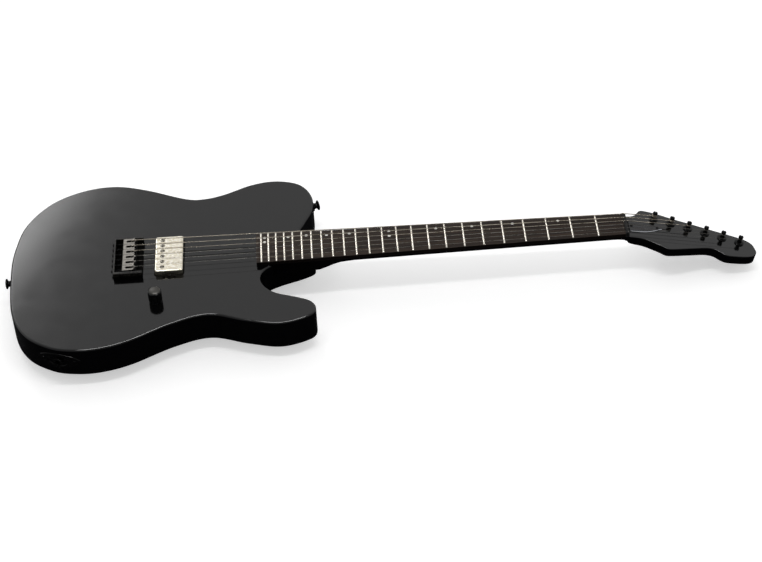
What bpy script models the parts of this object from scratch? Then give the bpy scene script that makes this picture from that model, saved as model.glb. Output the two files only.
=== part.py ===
"""Solid-body electric guitar: single cutaway, bolt-on neck, 24 frets, six tuners in line.

Every length below is in millimetres; MM turns it into Blender's metres when a mesh is made.
Frame: X runs from the tail to the headstock with X = 0 at the bridge end of the scale,
+Y is the bass side, +Z faces the player's hand, and Z = 0 is the back of the body.
"""
import math

import bmesh
import bpy
from mathutils import Matrix, Vector

MM = 0.001
GAP = 0.3
RUN = 0.35

# ---- driving dimensions -------------------------------------------------------------------
SCALE = 648.0
FRET_COUNT = 24
STRING_COUNT = 6
BODY_THICK = 44.0
BODY_ROUND = 2.5
TOP = BODY_THICK

BOARD_END = 155.4
NUT_HALF = 20.9
BOARD_END_HALF = 29.15
BOARD_TOP = 52.0
BOARD_RADIUS = 350.0
NECK_TOP = 46.0
HEEL_BOTTOM = 28.0
POCKET_FLOOR = HEEL_BOTTOM - GAP
POCKET_END = 245.0

FRET_WIDTH = 2.7
FRET_HEIGHT = 1.15
FRET_INSET = 0.4
TANG_THICK = 0.6
TANG_HALF = 4.0
RAIL_HALF = 2.0
RAIL_BOTTOM = 44.5
RAIL_TOP = 45.5
RAIL_PAST_FRET = 1.5

HEAD_START = 653.0
HEAD_TILT = math.radians(12.0)
HEAD_THICK = 14.3

CHANNEL_HALF = 3.3
CHANNEL_FLOOR = 38.0
CHANNEL_START = 159.0
CHANNEL_END = 668.0
ROD_HALF = 2.6
ROD_AXIS = 41.0
ROD_TOP = 43.8
ROD_START = 226.0
ROD_END = 650.0
ROD_NUT_LENGTH = 10.0
ROD_SOCKET_DEPTH = 6.0
ROD_SOCKET_R = 1.7

BRIDGE_BACK = -34.5
BRIDGE_FRONT = 4.3
BRIDGE_HALF = 36.5
BRIDGE_WALL = 2.0
BRIDGE_CHEEK = 3.7
BRIDGE_BASE = TOP + GAP
BRIDGE_FLOOR = 46.0
BRIDGE_TOP = 54.0
STRING_PITCH_BRIDGE = 10.5
STRING_PITCH_NUT = 7.1
STRING_RADII = (0.58, 0.46, 0.33, 0.22, 0.17, 0.13)
STRING_HOLE_X = -12.5
STRING_HOLE_R = 1.8
FERRULE_R = 4.0
FERRULE_DEPTH = 8.0
SADDLE_BACK = -22.5
SADDLE_FRONT = -3.5
SADDLE_WIDTH = 10.0
SADDLE_BOTTOM = 46.6
SADDLE_CREST = 55.9
SADDLE_SLOT = (-18.0, -7.0)
SADDLE_SLOT_HALF = 1.7
SADDLE_BORE_END = -16.0
NUT_TOP = 53.0
INTONATION_Z = 49.5
INTONATION_R = 1.5
SCREW_CLEAR = 0.3

PICKUP_BACK = 20.5
PICKUP_FRONT = 57.8
PICKUP_HALF = 34.6
PICKUP_TOP = 52.4
PICKUP_WALL = 0.8
POLE_X = 30.4
POLE_PITCH = 10.6
POLE_R = 2.2
LEG_HALF = 6.5
LEG_REACH = 40.0
ROUTE_GAP = 1.3
ROUTE_FLOOR = 22.0
EAR_HALF = 41.5
EAR_BACK = 30.0
EAR_FRONT = 48.0

KNOB_X = 22.6
KNOB_Y = -82.5
KNOB_R = 8.8
KNOB_TOP = 63.5
SHAFT_R = 3.0
BUSHING_R = 4.7
CAVITY_CEILING = 34.0
CAVITY_CENTRE = (16.0, -88.0)
CAVITY_SIZE = (62.0, 48.0)
LEDGE_SIZE = (74.0, 58.0)
LEDGE_DEPTH = 2.6

JACK_NEAR = (-98.0, -163.5)
JACK_Z = 24.5
JACK_PLATE_HALF = (29.0, 12.5)
JACK_PLATE_THICK = 1.2
JACK_BORE_R = 9.0
TAIL_STRAP_NEAR = (-175.0, -5.0)
HORN_STRAP_NEAR = (236.0, 111.0)
STRAP_Z = 22.0

POST_FIRST = (40.0, 21.0)
POST_STEP = (22.9, -6.6)
POST_R = 3.0
POST_WAIST = 2.4
POST_TOP = 11.2
GEAR_R = 4.4
GEAR_HALF = 3.0
WORM_R = 1.9
WORM_Z = -HEAD_THICK - 8.0
HOUSING_BOTTOM = WORM_Z - 6.0
BUSH_R = 4.7
WASHER_R = 6.4

# Outline of the body, through these points in turn: bass side from the tail to the neck,
# the tongue under the neck, the cutaway with its horn, and the treble side back to the tail.
BODY_NODES = (
    (-172.3, -6.0), (-169.5, 42.0), (-157.5, 88.5), (-126.3, 130.5), (-84.3, 153.6),
    (-40.0, 159.4), (4.0, 147.4), (58.0, 123.0), (84.0, 119.8), (112.0, 126.8),
    (150.0, 143.8), (184.0, 148.6), (216.0, 138.2), (232.0, 113.0), (233.0, 82.0),
    (221.0, 53.0), (214.0, 36.0), (221.0, 20.0), (230.5, 6.0), (231.0, -5.0),
    (213.0, -14.5), (186.0, -24.0), (168.0, -34.0), (160.4, -48.0), (163.5, -64.0),
    (178.0, -80.0), (207.0, -91.8), (224.5, -101.0), (230.8, -115.0), (222.5, -129.8),
    (184.0, -140.9), (140.0, -131.2), (92.0, -115.7), (45.0, -127.6), (-10.0, -155.0),
    (-47.0, -165.8), (-80.0, -166.7), (-113.0, -158.0), (-146.5, -131.5), (-166.0, -85.0),
)
BODY_SPAN = 3

# Edges of the headstock face, measured from its start along the face: (length, side).
HEAD_BASS = (
    (0.0, 21.0), (8.0, 22.6), (14.0, 25.6), (18.5, 31.5), (22.0, 36.0), (28.0, 37.3),
    (45.0, 33.9), (67.0, 26.3), (91.5, 19.1), (118.0, 10.9), (145.0, 2.8), (160.0, -2.2),
    (168.5, -7.2), (173.5, -13.5), (176.0, -24.5),
)
HEAD_TREBLE = (
    (0.0, -21.0), (14.5, -21.6), (25.0, -24.6), (34.0, -29.0), (43.0, -33.8), (49.0, -37.6),
    (56.0, -38.6), (82.0, -33.6), (103.5, -29.4), (113.0, -29.2), (120.0, -31.6),
    (126.0, -36.8), (132.0, -40.4), (140.0, -41.2), (157.5, -40.2), (168.0, -37.6),
    (173.5, -33.4), (176.0, -28.4),
)
HEAD_STATIONS = (
    4.0, 10.0, 14.5, 18.5, 22.0, 28.0, 43.0, 49.0, 56.0, 68.0, 82.0, 103.5, 113.0,
    120.0, 126.0, 132.0, 140.0, 159.0, 168.0, 173.5, 175.8,
)

# Half-widths of the truss-rod cover against its length from the nut: a bell with a blunt tip.
COVER_PROFILE = (
    (0.8, 11.0), (20.0, 10.0), (30.0, 8.3), (37.0, 6.0), (43.0, 3.0), (47.0, 1.6), (48.6, 0.7),
)
COVER_Y = 0.8
COVER_SCREW_X = 41.5
COVER_THICK = 1.9

# Four-bolt neck plate, cut back on the treble side to follow the heel's tongue.
PLATE_OUTLINE = (
    (161.0, -22.0), (178.0, -22.0), (208.0, -11.5), (218.0, -8.0), (218.0, 12.0),
    (210.0, 24.0), (161.0, 24.0),
)
PLATE_SCREWS = ((167.5, -15.5), (167.5, 17.5), (205.0, 17.5), (204.0, -7.6))
PLATE_TOP = -GAP
PLATE_THICK = 1.6

# ---- materials: base colour, roughness, metallic ------------------------------------------
FINISHES = {
    "satin_black": ((0.030, 0.030, 0.031), 0.42, 0.0),
    "neck_black": ((0.028, 0.028, 0.029), 0.40, 0.0),
    "dark_rosewood": ((0.075, 0.043, 0.032), 0.55, 0.0),
    "fret_nickel": ((0.78, 0.76, 0.70), 0.28, 1.0),
    "black_nut": ((0.035, 0.033, 0.031), 0.50, 0.0),
    "black_hardware": ((0.022, 0.022, 0.023), 0.33, 0.6),
    "saddle_grey": ((0.20, 0.20, 0.20), 0.40, 0.9),
    "aged_nickel": ((0.82, 0.79, 0.69), 0.32, 0.8),
    "steel": ((0.55, 0.55, 0.54), 0.30, 1.0),
    "bronze_string": ((0.60, 0.53, 0.42), 0.33, 1.0),
    "dark_plastic": ((0.018, 0.018, 0.019), 0.55, 0.0),
}


def clear_scene():
    for obj in list(bpy.data.objects):
        bpy.data.objects.remove(obj, do_unlink=True)


def finish(name):
    """The material called name, made the first time it is asked for."""
    found = bpy.data.materials.get(name)
    if found:
        return found
    colour, roughness, metallic = FINISHES[name]
    made = bpy.data.materials.new(name)
    made.use_nodes = True
    shader = made.node_tree.nodes["Principled BSDF"]
    shader.inputs["Base Color"].default_value = (*colour, 1.0)
    shader.inputs["Roughness"].default_value = roughness
    shader.inputs["Metallic"].default_value = metallic
    return made


# ---- mesh helpers -------------------------------------------------------------------------
def mesh_object(name, points, faces, look, place=(0, 0, 0), parent=None, turn=None):
    """One named object from points in millimetres, its faces turned outwards."""
    mesh = bpy.data.meshes.new(name)
    mesh.from_pydata([Vector(p) * MM for p in points], [], faces)
    work = bmesh.new()
    work.from_mesh(mesh)
    bmesh.ops.recalc_face_normals(work, faces=work.faces)
    work.to_mesh(mesh)
    work.free()
    mesh.shade_smooth()
    mesh.set_sharp_from_angle(angle=math.radians(32.0))
    mesh.materials.append(finish(look))
    obj = bpy.data.objects.new(name, mesh)
    bpy.context.collection.objects.link(obj)
    obj.location = Vector(place) * MM
    if turn is not None:
        obj.rotation_euler = turn.to_euler()
    obj.parent = parent
    return obj


def frame_empty(name, place, turn, parent=None):
    """An empty that carries a tilted local frame."""
    empty = bpy.data.objects.new(name, None)
    bpy.context.collection.objects.link(empty)
    empty.location = Vector(place) * MM
    empty.rotation_euler = turn.to_euler()
    empty.parent = parent
    return empty


def ring_faces(ring_count, size):
    """Quads between successive rings of equal size, with a cap on each end."""
    faces = []
    for ring in range(ring_count - 1):
        here, there = ring * size, (ring + 1) * size
        for k in range(size):
            nxt = (k + 1) % size
            faces.append((here + k, here + nxt, there + nxt, there + k))
    faces.append(tuple(range(size)))
    faces.append(tuple((ring_count - 1) * size + k for k in range(size)))
    return faces


def loft(name, rings, look, **where):
    points = [p for ring in rings for p in ring]
    return mesh_object(name, points, ring_faces(len(rings), len(rings[0])), look, **where)


def prism(name, outline, low, high, look, **where):
    rings = [[(x, y, z) for x, y in outline] for z in (low, high)]
    return loft(name, rings, look, **where)


def box(name, low, high, look, **where):
    outline = ((low[0], low[1]), (high[0], low[1]), (high[0], high[1]), (low[0], high[1]))
    return prism(name, outline, low[2], high[2], look, **where)


def revolve_data(profile, segments):
    """Points and faces of a profile of (radius, height) turned about Z; radius 0 is a pole."""
    points, faces, rings = [], [], []
    for radius, height in profile:
        if radius == 0:
            rings.append([len(points)])
            points.append((0.0, 0.0, height))
            continue
        rings.append(list(range(len(points), len(points) + segments)))
        for k in range(segments):
            angle = 2 * math.pi * k / segments
            points.append((radius * math.cos(angle), radius * math.sin(angle), height))
    for a, b in zip(rings, rings[1:]):
        for k in range(segments):
            nxt = (k + 1) % segments
            corners = (a[k % len(a)], a[nxt % len(a)], b[nxt % len(b)], b[k % len(b)])
            faces.append(tuple(dict.fromkeys(corners)))
    return points, faces


def revolve(name, profile, segments, look, **where):
    points, faces = revolve_data(profile, segments)
    return mesh_object(name, points, faces, look, **where)


def rod_cutter(name, start, end, radius, segments=16):
    """A cylinder between two points, for drilling."""
    axis = Vector(end) - Vector(start)
    profile = ((0, 0), (radius, 0), (radius, axis.length), (0, axis.length))
    turn = axis.to_track_quat("Z", "Y").to_matrix()
    return as_cutter(revolve(name, profile, segments, "dark_plastic", place=start, turn=turn))


def many_rods(name, rods, segments=10, parent=None):
    """One cutter that holds several separate cylinders, each (start, end, radius)."""
    points, faces = [], []
    for start, end, radius in rods:
        axis = Vector(end) - Vector(start)
        turn = axis.to_track_quat("Z", "Y").to_matrix()
        profile = ((0, 0), (radius, 0), (radius, axis.length), (0, axis.length))
        some, some_faces = revolve_data(profile, segments)
        base = len(points)
        points += [turn @ Vector(p) + Vector(start) for p in some]
        faces += [tuple(base + k for k in face) for face in some_faces]
    return as_cutter(mesh_object(name, points, faces, "dark_plastic", parent=parent))


def as_cutter(obj):
    obj.hide_render = True
    obj.display_type = "WIRE"
    return obj


def combine(target, other, operation):
    """Boolean of target with a hidden helper object."""
    as_cutter(other)
    modifier = target.modifiers.new(other.name, "BOOLEAN")
    modifier.operation = operation
    modifier.solver = "EXACT"
    modifier.object = other
    return target


def rounded_rectangle(centre, size, radius, corner=3):
    """Outline of a rectangle whose corners are arcs of corner + 1 points."""
    half_x, half_y = size[0] / 2 - radius, size[1] / 2 - radius
    outline = []
    for quadrant, (sx, sy) in enumerate(((1, 1), (-1, 1), (-1, -1), (1, -1))):
        for k in range(corner + 1):
            angle = math.pi / 2 * (quadrant + k / corner)
            outline.append((centre[0] + sx * half_x + radius * math.cos(angle),
                            centre[1] + sy * half_y + radius * math.sin(angle)))
    return outline


def smooth_loop(nodes, span):
    """Closed Catmull-Rom curve through the nodes, with span steps between neighbours."""
    count = len(nodes)
    curve = []
    for i in range(count):
        p0, p1, p2, p3 = (Vector(nodes[(i + k) % count]) for k in (-1, 0, 1, 2))
        for step in range(span):
            t = step / span
            curve.append(0.5 * (2 * p1 + (p2 - p0) * t + (2 * p0 - 5 * p1 + 4 * p2 - p3) * t ** 2
                                + (3 * p1 - p0 - 3 * p2 + p3) * t ** 3))
    return curve


def inward(outline, distance):
    """The outline moved towards its inside along each point's normal."""
    area = sum(a.x * b.y - b.x * a.y for a, b in zip(outline, outline[1:] + outline[:1]))
    sign = 1.0 if area > 0 else -1.0
    moved = []
    for k, point in enumerate(outline):
        tangent = (outline[(k + 1) % len(outline)] - outline[k - 1]).normalized()
        moved.append(point + Vector((-tangent.y, tangent.x)) * sign * distance)
    return moved


def interpolate(table, x):
    """Value at x of a table of (x, value) rows, straight between its rows."""
    for (x0, v0), (x1, v1) in zip(table, table[1:]):
        if x <= x1:
            return v0 + (v1 - v0) * max(0.0, (x - x0) / (x1 - x0))
    return table[-1][1]


def board_half(x):
    """Half the width of the fingerboard and neck at x."""
    return NUT_HALF + (SCALE - x) * (BOARD_END_HALF - NUT_HALF) / (SCALE - BOARD_END)


def board_height(y):
    """Height of the fingerboard's curved face at y."""
    return BOARD_TOP - (BOARD_RADIUS - math.sqrt(BOARD_RADIUS ** 2 - y ** 2))


def fret_x(number):
    return SCALE * 2 ** (-number / 12)


def string_y(index, pitch):
    """Side position of a string; index 0 is the thickest, on the bass side."""
    return pitch * ((STRING_COUNT - 1) / 2 - index)


def post_place(index):
    """A tuner's place on the headstock face, in the headstock's frame."""
    return POST_FIRST[0] + POST_STEP[0] * index, POST_FIRST[1] + POST_STEP[1] * index


ROW = Vector((POST_STEP[0], POST_STEP[1], 0)).normalized()
OUTWARD = Vector((-ROW.y, ROW.x, 0))
BODY_CURVE = smooth_loop(BODY_NODES, BODY_SPAN)


def side_frame(near):
    """Point of the body's side nearest to near, with the outward direction there."""
    k = min(range(len(BODY_CURVE)), key=lambda i: (BODY_CURVE[i] - Vector(near)).length)
    out = BODY_CURVE[k] - inward(BODY_CURVE, 1.0)[k]
    return k, BODY_CURVE[k], Vector((out.x, out.y, 0)).normalized()


def facing(direction):
    """Rotation that turns +Z to direction."""
    return Vector(direction).to_track_quat("Z", "Y").to_matrix()


# ---- body ---------------------------------------------------------------------------------
def make_body():
    layers = ((BODY_ROUND, 0), (0, BODY_ROUND), (0, TOP - BODY_ROUND), (BODY_ROUND, TOP))
    rings = [[(p.x, p.y, z) for p in inward(BODY_CURVE, inset)] for inset, z in layers]
    body = loft("body", rings, "satin_black")

    pocket_start = BOARD_END - GAP
    near, far = board_half(pocket_start) + GAP, board_half(POCKET_END) + GAP
    pocket = ((pocket_start, -near), (POCKET_END, -far), (POCKET_END, far), (pocket_start, near))
    combine(body, prism("neck_pocket_cut", pocket, POCKET_FLOOR, TOP + 5, "dark_plastic"), "DIFFERENCE")

    centre = ((PICKUP_BACK + PICKUP_FRONT) / 2, 0)
    size = (PICKUP_FRONT - PICKUP_BACK + 2 * ROUTE_GAP, 2 * (PICKUP_HALF + ROUTE_GAP))
    route = prism("pickup_cut", rounded_rectangle(centre, size, 4.0), ROUTE_FLOOR, TOP + 5, "dark_plastic")
    combine(body, route, "DIFFERENCE")
    ear_size = (EAR_FRONT - EAR_BACK, 2 * EAR_HALF)
    ears = rounded_rectangle(((EAR_BACK + EAR_FRONT) / 2, 0), ear_size, 5.0)
    combine(body, prism("pickup_ear_cut", ears, ROUTE_FLOOR + 1, TOP + 6, "dark_plastic"), "DIFFERENCE")

    cavity = rounded_rectangle(CAVITY_CENTRE, CAVITY_SIZE, 12.0)
    combine(body, prism("control_cut", cavity, -5, CAVITY_CEILING, "dark_plastic"), "DIFFERENCE")
    ledge = rounded_rectangle(CAVITY_CENTRE, LEDGE_SIZE, 16.0)
    combine(body, prism("cover_ledge_cut", ledge, -6, LEDGE_DEPTH, "dark_plastic"), "DIFFERENCE")
    wire = rod_cutter("pickup_wire_cut", (32, -30, 30), (24, -74, 26), 3.0, 10)
    combine(body, wire, "DIFFERENCE")

    _, side, out = side_frame(JACK_NEAR)
    mouth = Vector((side.x, side.y, JACK_Z))
    bore = rod_cutter("jack_bore_cut", mouth + out * 8, mouth - out * 38, JACK_BORE_R, 20)
    combine(body, bore, "DIFFERENCE")
    passage = rod_cutter("jack_wire_cut", mouth - out * 30, (-8, -94, 20), 4.0, 10)
    combine(body, passage, "DIFFERENCE")

    drills = [((KNOB_X, KNOB_Y, CAVITY_CEILING - 5), (KNOB_X, KNOB_Y, TOP + 5), BUSHING_R + RUN)]
    for i in range(STRING_COUNT):
        y = string_y(i, STRING_PITCH_BRIDGE)
        drills.append(((STRING_HOLE_X, y, FERRULE_DEPTH - 1), (STRING_HOLE_X, y, TOP + 5), STRING_HOLE_R))
    for x, y in PLATE_SCREWS:
        drills.append(((x, y, -5), (x, y, POCKET_FLOOR + 3), 2.4))
    for near in (TAIL_STRAP_NEAR, HORN_STRAP_NEAR):
        _, side, out = side_frame(near)
        base = Vector((side.x, side.y, STRAP_Z))
        drills.append((base - out * 22, base + out * 5, 1.9))
    combine(body, many_rods("body_drill_cut", drills), "DIFFERENCE")
    sinks = [((STRING_HOLE_X, string_y(i, STRING_PITCH_BRIDGE), -5),
              (STRING_HOLE_X, string_y(i, STRING_PITCH_BRIDGE), FERRULE_DEPTH), FERRULE_R)
             for i in range(STRING_COUNT)]
    combine(body, many_rods("ferrule_cut", sinks), "DIFFERENCE")


# ---- neck and headstock -------------------------------------------------------------------
def neck_section(top, bass, treble, depth, squareness, tilt):
    """A D-shaped ring below the point top: flat above, a superellipse below."""
    steps = 10
    middle, half = (bass + treble) / 2, (bass - treble) / 2
    power = 2.0 / squareness
    ring = []
    for k in range(steps + 1):
        angle = math.pi * k / steps
        c, s = math.cos(angle), math.sin(angle)
        across = middle + half * math.copysign(abs(c) ** power, c)
        down = -depth * max(s, 0.0) ** power
        ring.append((top[0] + down * math.sin(tilt), across, top[1] + down * math.cos(tilt)))
    return ring


def make_neck(head):
    heel = NECK_TOP - HEEL_BOTTOM
    shaft = ((BOARD_END, heel, 14, 0), (236, heel, 14, 0), (242, heel - 0.6, 9, 0),
             (249, heel - 2.2, 6, 0), (257, heel - 3.8, 3.8, 0), (268, heel - 5.0, 2.6, 0),
             (290, heel - 5.6, 2.2, 0), (470, 11.8, 2.15, 0), (632, 11.2, 2.15, 0),
             (HEAD_START - 8, 11.8, 2.4, 0.1), (HEAD_START, 13.2, 3.4, 0.5))
    rings = []
    for x, depth, squareness, tilt_share in shaft:
        half = board_half(x)
        rings.append(neck_section((x, NECK_TOP), half, -half, depth, squareness, HEAD_TILT * tilt_share))
    for length in HEAD_STATIONS:
        top = (HEAD_START + length * math.cos(HEAD_TILT), NECK_TOP - length * math.sin(HEAD_TILT))
        squareness = min(14.0, 4.0 + 0.75 * length)
        rings.append(neck_section(top, interpolate(HEAD_BASS, length), interpolate(HEAD_TREBLE, length),
                                  HEAD_THICK, squareness, HEAD_TILT))
    neck = loft("neck", rings, "neck_black")

    channel = box("rod_channel_cut", (CHANNEL_START, -CHANNEL_HALF, CHANNEL_FLOOR),
                  (CHANNEL_END, CHANNEL_HALF, NECK_TOP + 10), "dark_plastic")
    combine(neck, channel, "DIFFERENCE")
    heel_drills = [((x, y, 20), (x, y, 41), 2.3) for x, y in PLATE_SCREWS]
    combine(neck, many_rods("heel_drill_cut", heel_drills), "DIFFERENCE")
    head_drills = [((*post_place(i), -25), (*post_place(i), 5), BUSH_R + GAP) for i in range(STRING_COUNT)]
    head_drills.append(((COVER_SCREW_X, COVER_Y, -9), (COVER_SCREW_X, COVER_Y, 5), 1.4))
    combine(neck, many_rods("head_drill_cut", head_drills, 16, head), "DIFFERENCE")


def board_ring(x):
    """Cross-section of the fingerboard at x, curved on top."""
    half, steps = board_half(x), 8
    ring = [(x, -half, NECK_TOP + GAP), (x, half, NECK_TOP + GAP)]
    for k in range(steps + 1):
        y = half - 2 * half * k / steps
        ring.append((x, y, board_height(y)))
    return ring


def make_fingerboard():
    board = loft("fingerboard", [board_ring(BOARD_END), board_ring(SCALE)], "dark_rosewood")
    points, faces = [], []
    for number in range(1, FRET_COUNT + 1):
        x, half = fret_x(number), TANG_THICK / 2 + GAP
        base = len(points)
        for z in (NECK_TOP - 5, BOARD_TOP + 5):
            for sx, sy in ((-1, -1), (1, -1), (1, 1), (-1, 1)):
                points.append((x + sx * half, sy * (TANG_HALF + GAP), z))
        faces += [tuple(base + k for k in face) for face in ring_faces(2, 4)]
    slots = mesh_object("fret_slot_cut", points, faces, "dark_plastic")
    combine(board, slots, "DIFFERENCE")


def make_frets():
    """Twenty-four crowns; short tangs pass through the board to one hidden rail below it."""
    last = fret_x(FRET_COUNT) - RAIL_PAST_FRET
    first = fret_x(1) + RAIL_PAST_FRET
    comb = [(last, RAIL_BOTTOM), (first, RAIL_BOTTOM), (first, RAIL_TOP)]
    for number in range(1, FRET_COUNT + 1):
        x, half = fret_x(number), TANG_THICK / 2
        crown = BOARD_TOP + GAP + 0.4
        comb += [(x + half, RAIL_TOP), (x + half, crown), (x - half, crown), (x - half, RAIL_TOP)]
    comb.append((last, RAIL_TOP))
    rings = [[(x, y, z) for x, z in comb] for y in (-RAIL_HALF, RAIL_HALF)]
    frets = loft("frets", rings, "fret_nickel")

    points, faces, stations = [], [], 5
    bead = ((-0.5, 0.0), (-0.3, 1.0), (0.3, 1.0), (0.5, 0.0))
    for number in range(1, FRET_COUNT + 1):
        x = fret_x(number)
        half = board_half(x) - FRET_INSET
        base = len(points)
        for k in range(stations):
            y = half - 2 * half * k / (stations - 1)
            foot = board_height(y) + GAP
            points += [(x + FRET_WIDTH * u, y, foot + FRET_HEIGHT * v) for u, v in bead]
        faces += [tuple(base + k for k in face) for face in ring_faces(stations, len(bead))]
    crowns = mesh_object("fret_crown_join", points, faces, "fret_nickel")
    combine(frets, crowns, "UNION")


def make_nut():
    inset = 0.2
    low = (SCALE + GAP, -NUT_HALF + inset, NECK_TOP + GAP)
    high = (HEAD_START - GAP, NUT_HALF - inset, NUT_TOP)
    box("nut", low, high, "black_nut")


def make_truss_rod(head):
    box("truss_rod", (ROD_START, -ROD_HALF, CHANNEL_FLOOR + GAP), (ROD_END, ROD_HALF, ROD_TOP), "steel")
    start = ROD_END + GAP + 0.1
    socket = ROD_NUT_LENGTH - ROD_SOCKET_DEPTH
    profile = ((0, 0), (ROD_HALF, 0), (ROD_HALF, ROD_NUT_LENGTH), (ROD_SOCKET_R, ROD_NUT_LENGTH),
               (ROD_SOCKET_R, socket), (0, socket))
    revolve("truss_rod_nut", profile, 12, "steel", place=(start, 0, ROD_AXIS), turn=facing((1, 0, 0)))

    outline = [(x, COVER_Y - half) for x, half in COVER_PROFILE]
    outline += [(x, COVER_Y + half) for x, half in reversed(COVER_PROFILE)]
    cover = prism("truss_rod_cover", outline, GAP, GAP + COVER_THICK, "black_hardware", parent=head)
    hole = [((COVER_SCREW_X, COVER_Y, -3), (COVER_SCREW_X, COVER_Y, 6), 1.5)]
    combine(cover, many_rods("cover_hole_cut", hole, 12, head), "DIFFERENCE")
    screw = ((0, -8), (1.1, -8), (1.1, 2.5), (2.4, 2.5), (2.2, 3.4), (1.2, 3.9), (0, 3.9))
    revolve("truss_cover_screw", screw, 12, "black_hardware", place=(COVER_SCREW_X, COVER_Y, 0), parent=head)


def make_neck_plate():
    low = PLATE_TOP - PLATE_THICK
    plate = prism("neck_plate", PLATE_OUTLINE, low, PLATE_TOP, "black_hardware")
    holes = [((x, y, low - 3), (x, y, 3), 2.4) for x, y in PLATE_SCREWS]
    combine(plate, many_rods("plate_hole_cut", holes), "DIFFERENCE")
    head = low - GAP
    profile = ((0, head - 2.0), (2.2, head - 1.9), (4.2, head - 0.8), (4.2, head), (2.0, head),
               (2.0, 37.0), (0, 39.5))
    for number, (x, y) in enumerate(PLATE_SCREWS, start=1):
        revolve(f"neck_screw_{number}", profile, 10, "black_hardware", place=(x, y, 0))


# ---- bridge and strings -------------------------------------------------------------------
def make_bridge():
    plate = box("bridge_plate", (BRIDGE_BACK, -BRIDGE_HALF, BRIDGE_BASE),
                (BRIDGE_FRONT, BRIDGE_HALF, BRIDGE_TOP), "black_hardware")
    inner = BRIDGE_HALF - BRIDGE_CHEEK
    tray = box("bridge_tray_cut", (BRIDGE_BACK + BRIDGE_WALL, -inner, BRIDGE_FLOOR),
               (BRIDGE_FRONT + 5, inner, BRIDGE_TOP + 5), "dark_plastic")
    combine(plate, tray, "DIFFERENCE")
    drills = []
    for i in range(STRING_COUNT):
        y = string_y(i, STRING_PITCH_BRIDGE)
        drills.append(((STRING_HOLE_X, y, BRIDGE_BASE - 3), (STRING_HOLE_X, y, BRIDGE_FLOOR + 3), 1.5))
        drills.append(((BRIDGE_BACK - 3, y, INTONATION_Z), (BRIDGE_BACK + 5, y, INTONATION_Z),
                       INTONATION_R + SCREW_CLEAR))
    combine(plate, many_rods("bridge_drill_cut", drills), "DIFFERENCE")


def make_saddles():
    """Six slotted blocks; each slides on its own intonation screw."""
    side = ((SADDLE_BACK, SADDLE_BOTTOM), (SADDLE_FRONT, SADDLE_BOTTOM), (SADDLE_FRONT, 53.2),
            (-4.4, 55.5), (-6.0, SADDLE_CREST), (-8.6, 55.4), (SADDLE_BACK, 54.6))
    origin = (SADDLE_BACK, INTONATION_Z)
    slot_low = (SADDLE_SLOT[0] - origin[0], -SADDLE_SLOT_HALF, -10)
    slot_high = (SADDLE_SLOT[1] - origin[0], SADDLE_SLOT_HALF, 12)
    for i in range(STRING_COUNT):
        y = string_y(i, STRING_PITCH_BRIDGE)
        rings = [[(x - origin[0], s * SADDLE_WIDTH / 2, z - origin[1]) for x, z in side] for s in (-1, 1)]
        place = (origin[0], y, origin[1])
        saddle = loft(f"saddle_{i + 1}", rings, "saddle_grey", place=place)
        slot = box(f"saddle_slot_{i + 1}_cut", slot_low, slot_high, "dark_plastic", place=place)
        combine(saddle, slot, "DIFFERENCE")
        bore = rod_cutter(f"saddle_bore_{i + 1}_cut", (SADDLE_BACK - 2, y, INTONATION_Z),
                          (SADDLE_BORE_END, y, INTONATION_Z), INTONATION_R + SCREW_CLEAR, 10)
        combine(saddle, bore, "DIFFERENCE")


def make_intonation_screws():
    profile = ((0, -2.6), (1.9, -2.6), (2.5, -2.0), (2.5, -GAP), (INTONATION_R, -GAP),
               (INTONATION_R, 17.0), (0, 17.6))
    for i in range(STRING_COUNT):
        place = (BRIDGE_BACK, string_y(i, STRING_PITCH_BRIDGE), INTONATION_Z)
        revolve(f"intonation_screw_{i + 1}", profile, 10, "black_hardware", place=place, turn=facing((1, 0, 0)))


def swept_tube(name, path, radii, sides, look):
    """A tube along path, its cross-section carried from point to point without twist."""
    points = [Vector(p) for p in path]
    tangents = []
    for k in range(len(points)):
        before, after = points[max(k - 1, 0)], points[min(k + 1, len(points) - 1)]
        tangents.append((after - before).normalized())
    side = Vector((0, 1, 0))
    rings = []
    for point, tangent, radius in zip(points, tangents, radii):
        side = (side - tangent * side.dot(tangent)).normalized()
        other = tangent.cross(side)
        rings.append([point + radius * (math.cos(a) * side + math.sin(a) * other)
                      for a in (2 * math.pi * k / sides for k in range(sides))])
    return loft(name, rings, look)


def make_strings(head_matrix):
    """Ball end in the body, up through the bridge, over saddle and nut, round the post."""
    for i, radius in enumerate(STRING_RADII):
        y_bridge = string_y(i, STRING_PITCH_BRIDGE)
        y_nut = string_y(i, STRING_PITCH_NUT)
        saddle_z = SADDLE_CREST + GAP + radius
        nut_z = NUT_TOP + GAP + radius
        path = [(STRING_HOLE_X, y_bridge, 3.0), (STRING_HOLE_X, y_bridge, 6.2), (STRING_HOLE_X, y_bridge, 7.0),
                (STRING_HOLE_X, y_bridge, 47.0), (-12.0, y_bridge, 53.0), (-10.6, y_bridge, saddle_z - 0.5),
                (-9.6, y_bridge, saddle_z), (-5.0, y_bridge, saddle_z)]
        path += [(SCALE, y_nut, nut_z), (HEAD_START - GAP, y_nut, nut_z)]
        radii = [1.8, 1.8] + [radius] * (len(path) - 2)
        length, side = post_place(i)
        wrap = POST_WAIST + GAP + radius
        turns, per_turn = 1.25, 8
        for k in range(int(turns * per_turn) + 1):
            angle = -math.pi / 2 + 2 * math.pi * k / per_turn
            height = 7.3 - 1.25 * k / per_turn
            local = Vector((length + wrap * math.cos(angle), side + wrap * math.sin(angle), height))
            path.append(head_matrix @ local)
            radii.append(radius)
        look = "bronze_string" if i < 3 else "steel"
        swept_tube(f"string_{i + 1}", path, radii, 5, look)


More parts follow.
